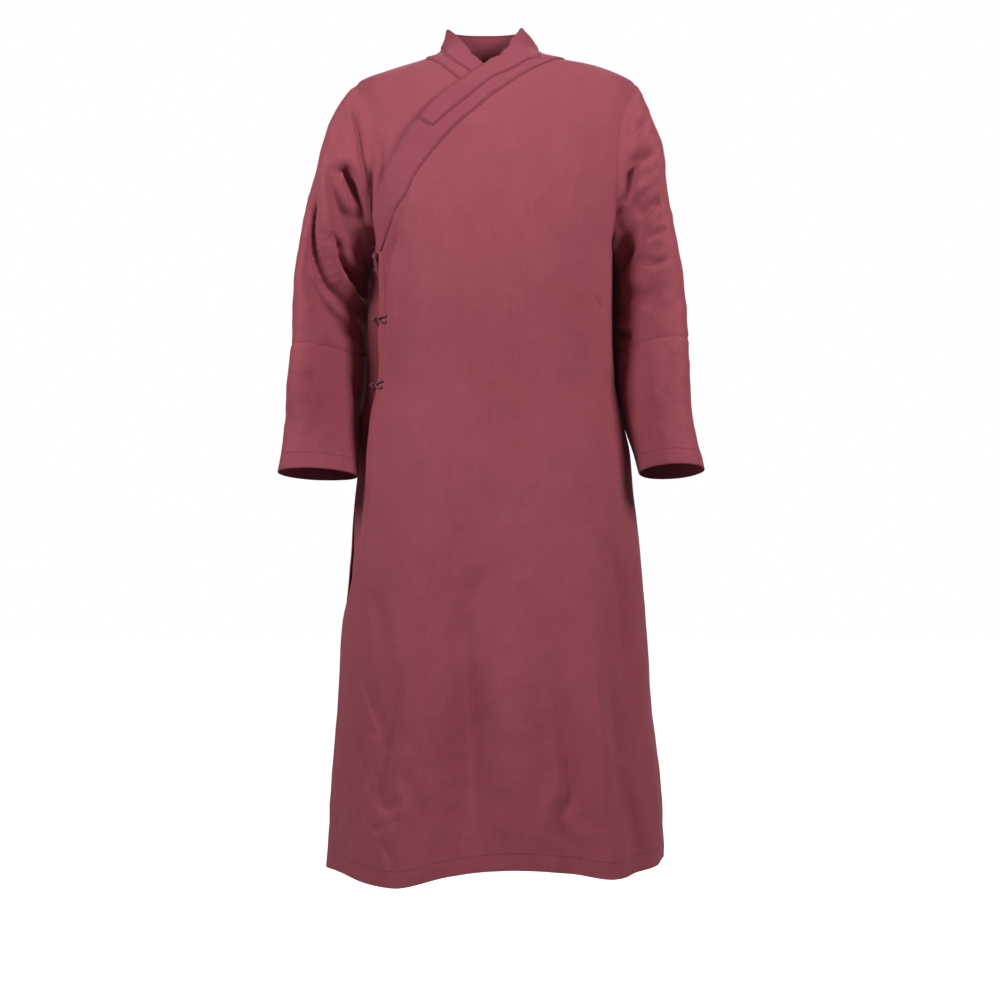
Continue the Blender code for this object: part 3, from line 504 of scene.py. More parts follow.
def outer_layer(phi, z):
    """How far the outer front stands out of the form."""
    return lap(z) * lap_share(phi)


def under_layer(phi, z):
    """How far the under front lies from the form, less than zero inside it and further in where it hangs
    free below the hips."""
    hang = UNDER_HANG * ease((UNDER_HANG_TOP_Z - z) / (UNDER_HANG_TOP_Z - UNDER_HANG_LOW_Z))
    return -lap(z) * (1.0 - lap_share(phi)) - hang


def side_flare(phi, z):
    """How far the back's edge and the under front beside it stand out at the open side."""
    size = smooth_table(SIDE_FLARE, z)[..., 0]
    angle = wrapped(phi)
    front = ease((FLARE_FRONT - angle) / (FLARE_FRONT - FLARE_MIDDLE))
    back = ease((angle - FLARE_BACK) / (FLARE_MIDDLE - FLARE_BACK))
    return size * front * back


def side_groove(phi, z):
    """How far the under front draws back beside the outer front's free edge, between it and the hem."""
    edge = smooth_table(OUTER_EDGE, z)[..., 0]
    angle = wrapped(phi)
    across = ease((angle - GROOVE_BACK[0]) / GROOVE_BACK[1])
    across = across * ease((edge + GROOVE_FRONT[0] - angle) / GROOVE_FRONT[1])
    down = ease((GROOVE_TOP[0] - z) / GROOVE_TOP[1]) * ease((z - GROOVE_FOOT[0]) / GROOVE_FOOT[1])
    return GROOVE_DEPTH * across * down


def under_side_layer(phi, z):
    """How far the under front lies from the form, with the flare and the groove at the open side."""
    return under_layer(phi, z) + side_flare(phi, z) - side_groove(phi, z)


def ring_half_depth(z):
    """Half depth of the armhole's ellipse at a height, no less than half a seam gap."""
    across = np.clip(1.0 - ((z - ARMHOLE_MIDDLE) / ARMHOLE_HALF) ** 2, 0.0, 1.0)
    return np.maximum(RING_HALF_DEPTH * np.sqrt(across), 0.5 * SEAM_GAP)


def side_angle(z, back=False):
    """Angle from the front, or from behind, at which a panel ends: the armhole or the side seam."""
    depth = smooth_table(SECTIONS, z)[..., 3 if back else 2]
    return np.degrees(np.arccos((ring_half_depth(z) / depth) ** (SECTION_POWER / 2.0)))


def ring_height(turn):
    """Height of the armhole ring at a turn in radians, from the shoulder down to the underarm."""
    return ARMHOLE_MIDDLE + ARMHOLE_HALF * np.cos(turn)


def ring_turn(z):
    """Angle round the armhole ring at a height, 0 at the shoulder and 180 at the underarm."""
    return np.degrees(np.arccos(np.clip((z - ARMHOLE_MIDDLE) / ARMHOLE_HALF, -1.0, 1.0)))


def sleeve_rings(side, psi):
    """All rings of a sleeve at ring angles psi. The first is the armhole, where the body's section is cut
    by a long ellipse seen from the side, and the others are leaning ellipses."""
    turn = np.radians(np.asarray(psi, dtype=float))
    height = ring_height(turn)
    section = smooth_table(SECTIONS, height)
    depth = np.where(np.sin(turn) > 0.0, section[..., 2], section[..., 3])
    inward = RING_HALF_DEPTH * np.abs(np.sin(turn))
    width = section[..., 1] * (1.0 - (inward / depth) ** SECTION_POWER) ** (1.0 / SECTION_POWER)
    x = section[..., 0] + side * width
    rings = [np.stack([x, -RING_HALF_DEPTH * np.sin(turn), height], axis=-1)]
    for outer_x, outer_z, inner_x, inner_z, centre_y, half_depth, tilt, swing in (
        LEFT_RINGS if side > 0 else RIGHT_RINGS
    ):
        outside = np.array([side * outer_x, centre_y - swing, outer_z])
        inside = np.array([side * inner_x, centre_y + swing, inner_z])
        lean = np.radians(tilt)
        forward = half_depth * np.array([0.0, -np.cos(lean), np.sin(lean)])
        centre = 0.5 * (outside + inside)
        reach = 0.5 * (outside - inside)
        rings.append(centre + np.cos(turn)[..., None] * reach + np.sin(turn)[..., None] * forward)
    return np.array(rings)


def sleeve_base(side, psi, s):
    """A sleeve's points at ring angles psi and ring numbers s, by a cubic along the arm."""
    psi, s = np.broadcast_arrays(np.asarray(psi, dtype=float), np.asarray(s, dtype=float))
    shape = psi.shape
    rings = sleeve_rings(side, psi.ravel())
    last = len(rings) - 1
    s = np.clip(s.ravel(), 0.0, last)
    place = np.minimum(s.astype(int), last - 1)
    t = (s - place)[..., None]
    column = np.arange(rings.shape[1])

    def ring(number):
        return rings[np.clip(number, 0, last), column]

    p0, p1, p2, p3 = ring(place - 1), ring(place), ring(place + 1), ring(place + 2)
    start = 0.5 * (p2 - p0)
    end = 0.5 * (p3 - p1)
    near = (2 * t**3 - 3 * t**2 + 1) * p1 + (t**3 - 2 * t**2 + t) * start
    far = (3 * t**2 - 2 * t**3) * p2 + (t**3 - t**2) * end
    return (near + far).reshape(*shape, 3)


def sleeve_normal(side, psi, s):
    """Outward normals of a sleeve, from its slopes round and along the arm."""
    last = len(LEFT_RINGS)
    around = sleeve_base(side, psi + RING_ANGLE_STEP, s) - sleeve_base(side, psi - RING_ANGLE_STEP, s)
    ahead = np.clip(s + RING_STEP, 0.0, last)
    behind = np.clip(s - RING_STEP, 0.0, last)
    along = sleeve_base(side, psi, ahead) - sleeve_base(side, psi, behind)
    return unit(np.cross(around, along)) * side


def pressed(points, path, spread, depth):
    """Distance to move in near a fold line: deepest on the line, fading across and at its ends."""
    start, length = FOLD_FADE
    fade = np.sin(np.pi * (start + length * np.linspace(0.0, 1.0, len(path))))
    away = np.linalg.norm(points[..., None, :] - path, axis=-1)
    return depth * np.max(np.exp(-((away / spread) ** 2)) * fade, axis=-1)


def sleeve_folds(side, points):
    """Distance that a sleeve's large folds press in, summed over its fold lines."""
    inward = np.zeros(points.shape[:-1])
    for line, spread, depth in LEFT_FOLDS if side > 0 else RIGHT_FOLDS:
        knots = np.array(line)
        spaced = np.linspace(0.0, len(knots) - 1.0, FOLD_SAMPLES)
        psi = np.interp(spaced, np.arange(len(knots)), knots[:, 0])
        s = np.interp(spaced, np.arange(len(knots)), knots[:, 1])
        path = sleeve_base(side, psi, s)
        inward = inward + pressed(points, path, spread, depth)
    return inward


def mitre(side, psi):
    """Outward direction of the joint between body and sleeve, halfway between their two normals."""
    psi = np.asarray(psi, dtype=float)
    turn = np.radians(psi)
    height = ring_height(turn)
    front = np.sin(turn) >= 0.0
    angle = np.where(front, side_angle(height), 180.0 - side_angle(height, back=True))
    body = form_normal(side * angle, height)
    sleeve = sleeve_normal(side, psi, np.full(psi.shape, 0.5))
    return unit(body + sleeve)


# Creases

# Creases of the body, each a line of (angle, height) with a spread, a depth and a lean. A depth under
# zero is a ridge. The lean, from -1 to 1, makes one side steep and the other long.
BODY_CREASES = (
    (((-11.9, -0.766), (-13.0, -0.830), (-14.0, -0.888)), 0.014, 0.0045, 0.4),
    (((-3.3, -0.836), (-9.3, -0.919), (-6.5, -1.106), (-6.3, -1.286)), 0.020, 0.0085, -0.4),
    (((15.6, -0.971), (21.7, -1.107), (22.4, -1.189), (17.7, -1.235), (24.3, -1.309)), 0.011, 0.0085, 0.5),
    (((45.1, -0.789), (52.7, -0.886), (51.7, -1.061)), 0.014, 0.0070, 0.4),
    (((51.6, -1.145), (56.7, -1.274)), 0.016, -0.0060, 0.0),
    (((3.0, -0.420), (4.5, -0.700), (4.0, -1.050)), 0.040, 0.0060, 0.0),
    (((-5.0, -0.980), (-7.0, -1.120), (-6.0, -1.330)), 0.040, 0.0120, 0.0),
    (((12.0, -0.860), (14.0, -1.050), (12.0, -1.320)), 0.034, 0.0080, 0.2),
    (((34.0, -0.900), (36.0, -1.060), (34.0, -1.240)), 0.020, -0.0060, 0.0),
    (((42.0, -1.000), (44.0, -1.120), (42.0, -1.270)), 0.013, 0.0055, -0.4),
    (
        (
            (-43.6, -0.284), (-47.6, -0.311), (-52.4, -0.334), (-56.7, -0.356), (-58.7, -0.380),
            (-60.6, -0.409), (-61.3, -0.429), (-63.4, -0.476), (-66.5, -0.512), (-67.8, -0.544),
        ),
        0.011, 0.0085, -0.6,
    ),
    (
        (
            (-50.9, -0.145), (-49.6, -0.171), (-47.7, -0.190), (-49.2, -0.206), (-53.0, -0.224),
            (-56.5, -0.241), (-60.6, -0.266),
        ),
        0.006, 0.0060, 0.3,
    ),
    (((-36.0, -0.240), (-39.5, -0.262), (-45.0, -0.290)), 0.005, 0.0030, 0.3),
    (((54.0, -0.402), (62.0, -0.424)), 0.006, 0.0045, 0.3),
    (((46.0, -0.130), (56.0, -0.220), (60.0, -0.320)), 0.024, 0.0040, -0.4),
    (((30.0, -0.060), (40.0, -0.150), (44.0, -0.260)), 0.030, 0.0030, 0.3),
    (((-62.0, -0.980), (-52.0, -1.020), (-42.0, -1.075), (-37.0, -1.120)), 0.008, 0.0048, 0.5),
    (((-54.0, -1.075), (-48.0, -1.095), (-42.0, -1.100)), 0.0055, 0.0034, 0.6),
    (((-46.0, -1.225), (-40.0, -1.235), (-35.0, -1.225)), 0.0055, 0.0036, -0.5),
    (((-44.0, -1.150), (-40.0, -1.165), (-38.0, -1.190)), 0.0050, 0.0034, 0.5),
    (((-38.0, -1.250), (-33.0, -1.270), (-30.0, -1.300)), 0.0055, 0.0036, 0.5),
    (((-58.0, -1.020), (-54.0, -1.045), (-53.0, -1.080)), 0.0050, 0.0030, -0.4),
    (((-60.0, -1.215), (-54.0, -1.235), (-50.0, -1.240)), 0.0050, 0.0034, 0.5),
    (((-33.0, -0.990), (-34.0, -1.080), (-36.0, -1.160), (-31.0, -1.230)), 0.012, 0.0060, -0.5),
    (((-58.0, -1.100), (-48.0, -1.140), (-42.0, -1.190)), 0.009, 0.0045, 0.5),
    (((-66.0, -1.180), (-56.0, -1.200), (-48.0, -1.230), (-43.0, -1.280)), 0.010, 0.0048, 0.4),
    (((-27.0, -1.150), (-23.0, -1.220), (-26.0, -1.300)), 0.011, 0.0050, 0.2),
    (((-60.0, -1.250), (-52.0, -1.270), (-46.0, -1.300)), 0.008, 0.0036, 0.4),
    (((-40.0, -1.180), (-34.0, -1.200), (-28.0, -1.190)), 0.007, 0.0032, 0.3),
    (((-50.0, -0.880), (-44.0, -0.930), (-41.0, -1.000)), 0.014, 0.0036, 0.3),
    (((70.0, -0.480), (66.0, -0.620), (68.0, -0.780)), 0.020, 0.0050, 0.3),
    (((118.0, -0.120), (126.0, -0.240), (124.0, -0.360)), 0.016, 0.0060, 0.4),
    (((150.0, -0.090), (146.0, -0.220), (150.0, -0.380)), 0.022, 0.0045, -0.3),
    (((206.0, -0.110), (214.0, -0.240), (212.0, -0.400)), 0.022, 0.0045, 0.3),
    (((238.0, -0.140), (232.0, -0.260), (238.0, -0.350)), 0.016, 0.0060, -0.4),
    (((128.0, -0.560), (136.0, -0.700), (134.0, -0.900)), 0.016, 0.0060, 0.3),
    (((162.0, -0.480), (158.0, -0.700), (160.0, -0.960)), 0.022, 0.0065, -0.3),
    (((184.0, -0.300), (182.0, -0.520), (186.0, -0.780)), 0.034, 0.0060, 0.0),
    (((208.0, -0.640), (204.0, -0.820), (210.0, -1.020)), 0.017, 0.0065, 0.4),
    (((232.0, -0.560), (240.0, -0.740), (236.0, -0.940)), 0.016, 0.0055, -0.4),
    (((112.0, -0.980), (116.0, -1.120), (110.0, -1.260)), 0.013, 0.0055, 0.3),
    (((176.0, -1.020), (172.0, -1.140), (178.0, -1.270)), 0.013, 0.0055, -0.3),
    (((222.0, -1.060), (226.0, -1.180), (220.0, -1.290)), 0.013, 0.0055, 0.5),
)

# Creases of the sleeves, each a line of (ring angle, ring number) with the same three values
RIGHT_CREASES = (
    (((42.0, 0.8), (64.0, 0.65), (84.0, 0.55), (114.0, 0.4)), 0.0050, 0.0075, -0.3),
    (
        ((50.0, 3.6), (64.0, 3.9), (80.0, 4.3), (92.0, 4.3), (108.0, 3.6), (126.0, 1.5)),
        0.0100, 0.0080, -0.2,
    ),
    (
        ((74.0, 3.5), (82.0, 2.6), (92.0, 2.0), (104.0, 1.4), (116.0, 1.0), (130.0, 0.9)),
        0.0085, 0.0200, -0.85,
    ),
    (
        ((34.0, 5.0), (50.0, 6.2), (66.0, 6.9), (78.0, 7.4), (92.0, 8.1), (112.0, 8.4), (140.0, 8.6)),
        0.0130, 0.0190, -0.85,
    ),
    (((24.0, 4.4), (40.0, 4.9), (56.0, 5.6), (72.0, 6.3)), 0.0100, -0.0050, 0.0),
    (
        ((36.0, 7.0), (58.0, 8.0), (80.0, 8.7), (100.0, 9.3), (120.0, 9.6), (142.0, 9.7)),
        0.0130, 0.0110, -0.6,
    ),
    (((80.0, 6.0), (98.0, 6.0), (104.0, 6.4), (118.0, 6.6), (140.0, 6.3)), 0.0080, 0.0150, -0.7),
    (((112.0, 7.0), (126.0, 6.7), (142.0, 6.4), (158.0, 6.2)), 0.0120, 0.0120, -0.3),
    (((60.0, 9.4), (90.0, 9.9), (130.0, 10.1)), 0.0120, 0.0045, 0.2),
    (((30.0, 2.0), (50.0, 2.4), (70.0, 2.2)), 0.0120, 0.0040, 0.2),
    (((126.0, 7.4), (146.0, 7.3), (172.0, 7.2)), 0.0080, 0.0070, -0.3),
    (((300.0, 1.2), (280.0, 2.0), (255.0, 1.6), (235.0, 0.8)), 0.0090, 0.0100, 0.4),
    (((320.0, 4.0), (290.0, 5.0), (255.0, 4.6), (222.0, 2.8)), 0.0110, 0.0130, -0.4),
    (((315.0, 6.8), (280.0, 7.8), (240.0, 8.2), (205.0, 7.6)), 0.0110, 0.0120, 0.4),
    (((300.0, 9.2), (260.0, 9.8), (215.0, 9.6)), 0.0110, 0.0070, 0.2),
    (((10.0, 5.0), (350.0, 6.5), (340.0, 8.0)), 0.0200, 0.0040, 0.0),
)
LEFT_CREASES = (
    (((34.0, 2.6), (46.0, 2.1), (58.0, 1.6), (74.0, 0.9)), 0.0065, 0.0080, -0.4),
    (((40.0, 3.9), (60.0, 3.1), (76.0, 2.2), (87.0, 1.4), (98.0, 1.2), (112.0, 1.3)), 0.0085, 0.0160, -0.8),
    (((46.0, 4.3), (70.0, 3.9), (88.0, 3.1), (104.0, 2.2), (120.0, 1.0)), 0.0080, -0.0060, 0.0),
    (((48.0, 5.5), (62.0, 5.1), (84.0, 4.7), (102.0, 4.0)), 0.0085, 0.0085, -0.5),
    (((44.0, 6.5), (64.0, 6.3), (84.0, 6.1)), 0.0060, 0.0060, -0.5),
    (((42.0, 7.6), (74.0, 7.4), (94.0, 6.8), (112.0, 6.0)), 0.0065, 0.0060, -0.4),
    (((82.0, 8.8), (96.0, 8.5), (112.0, 8.1), (134.0, 7.5)), 0.0120, 0.0100, -0.3),
    (((178.0, 8.3), (160.0, 9.2), (138.0, 10.0)), 0.0070, 0.0110, 0.4),
    (((178.0, 9.2), (150.0, 9.8), (118.0, 10.4)), 0.0080, 0.0080, -0.4),
    (((120.0, 3.6), (140.0, 2.8), (160.0, 1.6)), 0.0090, 0.0080, 0.3),
    (((110.0, 5.0), (136.0, 4.4), (164.0, 3.2)), 0.0100, 0.0080, 0.3),
    (((28.0, 8.8), (52.0, 9.4), (84.0, 9.6)), 0.0130, 0.0040, 0.2),
    (((40.0, 5.2), (58.0, 5.2), (76.0, 4.9)), 0.0080, 0.0045, -0.3),
    (((305.0, 1.4), (282.0, 2.2), (252.0, 1.8), (232.0, 0.9)), 0.0090, 0.0100, -0.4),
    (((322.0, 4.4), (288.0, 5.2), (250.0, 4.4), (220.0, 2.6)), 0.0110, 0.0130, 0.4),
    (((312.0, 7.2), (276.0, 7.6), (238.0, 8.0), (204.0, 7.2)), 0.0110, 0.0120, -0.4),
    (((298.0, 9.4), (256.0, 9.6), (212.0, 9.8)), 0.0110, 0.0070, 0.3),
    (((12.0, 5.4), (352.0, 6.8), (338.0, 8.4)), 0.0200, 0.0040, 0.0),
)
RIGHT_CUFF_CREASES = (
    (((58.0, 12.2), (80.0, 13.0), (98.0, 14.4)), 0.0120, 0.0040, 0.2),
    (((128.0, 12.0), (150.0, 13.0), (160.0, 14.2)), 0.0110, 0.0045, 0.3),
    (((20.0, 13.4), (36.0, 14.2), (44.0, 15.2)), 0.0140, 0.0035, -0.3),
    (((300.0, 12.0), (270.0, 13.2), (250.0, 14.6)), 0.0120, 0.0050, 0.2),
    (((215.0, 12.2), (200.0, 13.4), (190.0, 14.6)), 0.0110, 0.0045, -0.2),
)
LEFT_CUFF_CREASES = (
    (((50.0, 11.6), (64.0, 12.2), (86.0, 13.2)), 0.0120, 0.0050, 0.3),
    (((140.0, 11.8), (156.0, 13.0), (164.0, 14.6)), 0.0100, 0.0050, -0.3),
    (((100.0, 13.2), (112.0, 14.2), (118.0, 15.2)), 0.0140, 0.0035, 0.2),
    (((310.0, 12.2), (286.0, 13.2), (262.0, 14.4)), 0.0120, 0.0050, 0.2),
    (((220.0, 12.0), (206.0, 13.2), (196.0, 14.8)), 0.0110, 0.0045, -0.2),
)

# Dip along the joint of body and sleeve: ring angle, depth
ARMHOLE_DIP = (
    (0.0, 0.0000),
    (40.0, 0.0000),
    (70.0, 0.0008),
    (100.0, 0.0026),
    (130.0, 0.0060),
    (148.0, 0.0078),
    (165.0, 0.0036),
    (180.0, 0.0000),
    (205.0, 0.0020),
    (240.0, 0.0034),
    (290.0, 0.0010),
    (320.0, 0.0000),
    (360.0, 0.0000),
)
ARMHOLE_DIP_SPREAD = 0.013

# How far the sleeves hang in towards the body: ring number, distance, ring angle
LEFT_TUCK = (
    (0.0, 0.0000, 195.0),
    (1.0, 0.0045, 196.0),
    (2.2, 0.0080, 198.0),
    (4.2, 0.0090, 200.0),
    (6.0, 0.0065, 200.0),
    (8.5, 0.0000, 205.0),
    (16.0, 0.0000, 205.0),
)
RIGHT_TUCK = (
    (0.0, 0.0000, 195.0),
    (1.0, 0.0050, 196.0),
    (2.2, 0.0095, 198.0),
    (4.2, 0.0115, 200.0),
    (6.5, 0.0105, 200.0),
    (8.5, 0.0045, 205.0),
    (9.8, 0.0055, 213.0),
    (11.5, 0.0130, 217.0),
    (13.5, 0.0135, 217.0),
    (15.0, 0.0095, 215.0),
    (16.0, 0.0015, 215.0),
)
TUCK_SPREAD = 27.0

# Profile of a crease: how much its lean narrows it, and its raised sides' place, width and height
LEAN_SHARE = 0.65
SIDE_PLACE = 1.9
SIDE_WIDTH = 1.1
SIDE_HEIGHT = 0.24
# Creases reach this many spreads out. A wide one starts to fade further from its ends than a fine one.
CREASE_REACH = 5.0
FADE_POWER = (0.45, 28.0)

# Number of sine waves in a sum, and the crumples made of them: shortest and longest wave against their
# length, level of the ridges and shares of the two sums
WAVE_COUNT = 26
CRUMPLE_SPAN = (0.8, 1.6)
CRUMPLE_LEVEL = 0.8
CRUMPLE_SHARES = (0.7, 0.3)

# Calm of the cloth over the shoulders: height over the shoulder line, fade, share of relief that stays
YOKE_RISE = 0.015
YOKE_FADE = 0.06
YOKE_SHARE = 0.25

# Crumples of the skirt: height at which they start, and the length over which they grow
HEM_CRUMPLE_Z = -0.95
HEM_CRUMPLE_FADE = 0.30

# Height over which the armhole's dip grows from its top and its foot, and rings over which a sleeve's
# relief grows
RIM_FADE = 0.02
RELIEF_RINGS = 0.8
# A sleeve's relief falls by this share on its inner side, from this cosine of the ring angle on and over
# this span of it
INNER_CALM = 0.85
INNER_SIDE = (0.74, 0.20)
# width in rings and depth of the draw-in at the seam across the sleeve and at the cuff's edge
SEAM_DRAW = (0.10, 0.0012)
CUFF_DRAW = (0.05, 0.0006)
# rings' distances from the seam, where rows stand closer
NEAR_SEAM = (0.30, 0.20, 0.13, 0.08, 0.04)
SEAM_CLEAR = 0.4

# How much closer a band's edges lie than its middle, and the space between body and sleeve
BAND_HUG = 0.0010
JOINT_GAP = 0.00006

# Grids of the shells, as numbers of rows and columns, and the step and samples along a band or a crease
RING_COUNT = 176
NECK_ROWS = 22
SKIRT_ROWS = 196
BACK_COLUMNS = 132
OUTER_COLUMNS = 144
UNDER_COLUMNS = 56
SLEEVE_ROWS = 190
CUFF_ROWS = 56
BAND_COLUMNS = 12
BAND_ROW = 0.004
BAND_SAMPLES = 24
PATH_SAMPLES = 32


def crease_profile(away, spread, depth, lean):
    """Height across a crease: a bell-shaped trough, narrow on the side that it leans to and long on the
    other, with a raised bell beyond each side, the higher one on the steep side."""
    width = spread * np.where(away > 0.0, 1.0 - LEAN_SHARE * lean, 1.0 + LEAN_SHARE * lean)
    trough = np.exp(-((away / width) ** 2))
    ahead = np.exp(-(((away - SIDE_PLACE * spread) / (SIDE_WIDTH * spread)) ** 2))
    behind = np.exp(-(((away + SIDE_PLACE * spread) / (SIDE_WIDTH * spread)) ** 2))
    return depth * (SIDE_HEIGHT * (1.0 + lean) * ahead + SIDE_HEIGHT * (1.0 - lean) * behind - trough)


def creased(points, path, normals, spread, depth, lean):
    """Height that one crease adds. The nearest place on the path gives the distance across it and the
    share of its length, and the crease fades to nothing at both ends."""
    shape = points.shape[:-1]
    flat = points.reshape(-1, 3)
    height = np.zeros(len(flat))
    middle = path.mean(axis=0)
    reach = np.linalg.norm(path - middle, axis=-1).max() + CREASE_REACH * spread
    near = np.nonzero(np.linalg.norm(flat - middle, axis=-1) < reach)[0]
    if len(near) == 0:
        return height.reshape(shape)
    step = np.diff(path, axis=0)
    length = np.sum(step * step, axis=-1)
    offset = flat[near, None, :] - path[None, :-1, :]
    share = np.clip(np.sum(offset * step, axis=-1) / length, 0.0, 1.0)
    rest = offset - share[..., None] * step
    best = np.argmin(np.sum(rest * rest, axis=-1), axis=-1)
    row = np.arange(len(near))
    rest = rest[row, best]
    along = (best + share[row, best]) / len(step)
    across = unit(np.cross(step, 0.5 * (normals[:-1] + normals[1:])))[best]
    side = np.sign(np.sum(rest * across, axis=-1))
    away = side * np.linalg.norm(rest, axis=-1)
    fade = np.clip(4.0 * along * (1.0 - along), 0.0, 1.0) ** (FADE_POWER[0] + FADE_POWER[1] * spread)
    height[near] = crease_profile(away, spread, depth, lean) * fade
    return height.reshape(shape)


def fine_line(line):
    """A line of knots as many samples, rounded by the table's cubic."""
    keyed = [(float(i), *knot) for i, knot in enumerate(line)]
    return smooth_table(keyed, np.linspace(0.0, len(line) - 1.0, PATH_SAMPLES))


def waves(points, seed, shortest, longest, height):
    """A sum of sine waves with seeded directions, lengths and starts, scaled to a typical height."""
    rng = np.random.default_rng(seed)
    ways = unit(rng.normal(size=(WAVE_COUNT, 3)))
    lengths = rng.uniform(shortest, longest, WAVE_COUNT)
    starts = rng.uniform(0.0, 2.0 * np.pi, WAVE_COUNT)
    phase = points @ (2.0 * np.pi * ways / lengths[:, None]).T + starts
    return height * np.sqrt(2.0 / WAVE_COUNT) * np.sin(phase).sum(axis=-1)


def crumples(points, seed, length, height):
    """Small sharp-edged crumples: two wave sums folded over at zero, which leaves ridges there."""
    shortest, longest = (share * length for share in CRUMPLE_SPAN)
    first = CRUMPLE_SHARES[0] * np.abs(waves(points, seed, shortest, longest, 1.0))
    second = CRUMPLE_SHARES[1] * np.abs(waves(points, seed + 1, shortest, longest, 1.0))
    return height * (CRUMPLE_LEVEL - first - second)


def with_creases(relief, points, creases, place, normal):
    """Relief with the creases added. Place and normal give the points and normals of a crease's line."""
    for line, spread, depth, lean in creases:
        first, second = fine_line(line).T
        path = place(first, second)
        relief = relief + creased(points, path, normal(first, second), spread, depth, lean)
    return relief


def body_relief(phi, z):
    """Creases, soft waves and crumples of the body, the same for every layer at one angle and height."""
    base = form_base(phi, z)
    relief = waves(base, seed=11, shortest=0.16, longest=0.34, height=0.0012)
    relief = relief + crumples(base, seed=23, length=0.075, height=0.0006)
    low = ease((HEM_CRUMPLE_Z - z) / HEM_CRUMPLE_FADE)
    relief = relief + low * crumples(base, seed=31, length=0.060, height=0.0012)
    relief = with_creases(relief, base, BODY_CREASES, form_base, form_normal)
    calm = ease((SHOULDER_Z + YOKE_RISE - z) / YOKE_FADE)
    return relief * (YOKE_SHARE + (1.0 - YOKE_SHARE) * calm)


def rim_fade(z):
    """Share that falls to nothing at the armhole's top and at its foot."""
    top = np.clip((SHOULDER_Z - z) / RIM_FADE, 0.0, 1.0)
    return top * np.clip((z - UNDERARM_Z) / RIM_FADE, 0.0, 1.0)


def armhole_nearness(phi, z):
    """How near a body point is to the armhole, a bell that is 1 on it, and its ring angle there."""
    turned = wrapped(phi)
    front = np.abs(turned) < 90.0
    rim = np.where(front, side_angle(z), 180.0 - side_angle(z, back=True))
    inside = (z <= SHOULDER_Z) & (z >= UNDERARM_Z)
    section = smooth_table(SECTIONS, z)
    away = np.abs(np.abs(turned) - rim) * np.radians(1.0) * 0.5 * (section[..., 1] + section[..., 2])
    turn = ring_turn(z)
    psi = np.where(front, turn, 360.0 - turn)
    near = np.exp(-((away / ARMHOLE_DIP_SPREAD) ** 2)) * inside * rim_fade(z)
    return near, psi


def body_shell(phi, z, out):
    """Outer and inner points of body cloth: the form moved out by its layer and its relief, and pressed
    in along the armhole in the direction that it shares with the sleeve. The share of that direction at
    each point and the direction itself are given too."""
    near, psi = armhole_nearness(phi, z)
    hold = 1.0 - near**0.5
    moved = skirt_folds(phi, z) + out + body_relief(phi, z) * hold
    normal = form_normal(phi, z)
    outer = form_base(phi, z) + normal * moved[..., None]
    side = np.where(wrapped(phi) >= 0.0, 1.0, -1.0)
    joint = np.where(side[..., None] > 0.0, mitre(1, psi), mitre(-1, psi))
    way = unit(normal * (1.0 - near)[..., None] + joint * near[..., None])
    outer = outer - way * (near * smooth_table(ARMHOLE_DIP, psi)[..., 0])[..., None]
    return outer, outer - way * SHELL, near**2, joint


def sleeve_relief(side, points, creases):
    """Creases, waves and crumples of a sleeve."""
    seed = 50 if side > 0 else 70
    relief = waves(points, seed, shortest=0.10, longest=0.22, height=0.0012)
    relief = relief + crumples(points, seed + 3, length=0.055, height=0.0008)

    def place(psi, s):
        return sleeve_base(side, psi, s)

    def normal(psi, s):
        return sleeve_normal(side, psi, s)

    return with_creases(relief, points, creases, place, normal)


def sleeve_tuck(side, psi, s):
    """How far a sleeve's inner and rear part hangs in towards the body: a bell round one ring angle,
    with a size and a middle read off a table along the arm."""
    row = smooth_table(LEFT_TUCK if side > 0 else RIGHT_TUCK, s)
    return row[..., 0] * np.exp(-(((psi - row[..., 1]) / TUCK_SPREAD) ** 2))


def sleeve_shell(side, stations, creases):
    """Outer and inner points of a sleeve piece: rings moved along their normals by relief, folds and the
    draw-in at the seam and the cuff, tucked in towards the body, and pressed in along the armhole. The
    share of the armhole's direction at each point and the direction itself are given too."""
    ring = np.arange(RING_COUNT) * 360.0 / RING_COUNT
    s, psi = np.meshgrid(stations, ring, indexing="ij")
    base = sleeve_base(side, psi, s)
    normal = sleeve_normal(side, psi, s)
    calm = ease(s / CALM_RINGS)
    folds = sleeve_folds(side, base)
    inner_side = ease((-np.cos(np.radians(psi)) - INNER_SIDE[0]) / INNER_SIDE[1])
    relief = sleeve_relief(side, base, creases) * ease(s / RELIEF_RINGS) * (1.0 - INNER_CALM * inner_side)
    seam = SEAM_DRAW[1] * np.exp(-(((s - SEAM_RING) / SEAM_DRAW[0]) ** 2))
    hem = CUFF_DRAW[1] * np.exp(-(((s - len(LEFT_RINGS)) / CUFF_DRAW[0]) ** 2))
    moved = relief - calm * folds - seam - hem
    outer = base + normal * moved[..., None]
    outer[..., 0] -= side * sleeve_tuck(side, psi, s)
    start = base[0]
    away = np.linalg.norm(base - start, axis=-1)
    near = np.exp(-((away / ARMHOLE_DIP_SPREAD) ** 2))
    joint = np.broadcast_to(mitre(side, ring), base.shape)
    way = unit(normal * (1.0 - near)[..., None] + joint * near[..., None])
    dip = near * smooth_table(ARMHOLE_DIP, psi)[..., 0] * rim_fade(start[:, 2])
    outer = outer - way * dip[..., None]
    return outer, outer - way * SHELL, near**2, joint


# Meshes

# Distance, in metres, kept where a piece has no stitches along a hem or an edge
FAR_AWAY = 1.0


def run_lengths(points, axis):
    """Distances walked along a grid's rows or columns."""
    steps = np.linalg.norm(np.diff(points, axis=axis), axis=-1)
    start = np.zeros_like(np.take(steps, [0], axis=axis))
    return np.concatenate([start, np.cumsum(steps, axis=axis)], axis=axis)


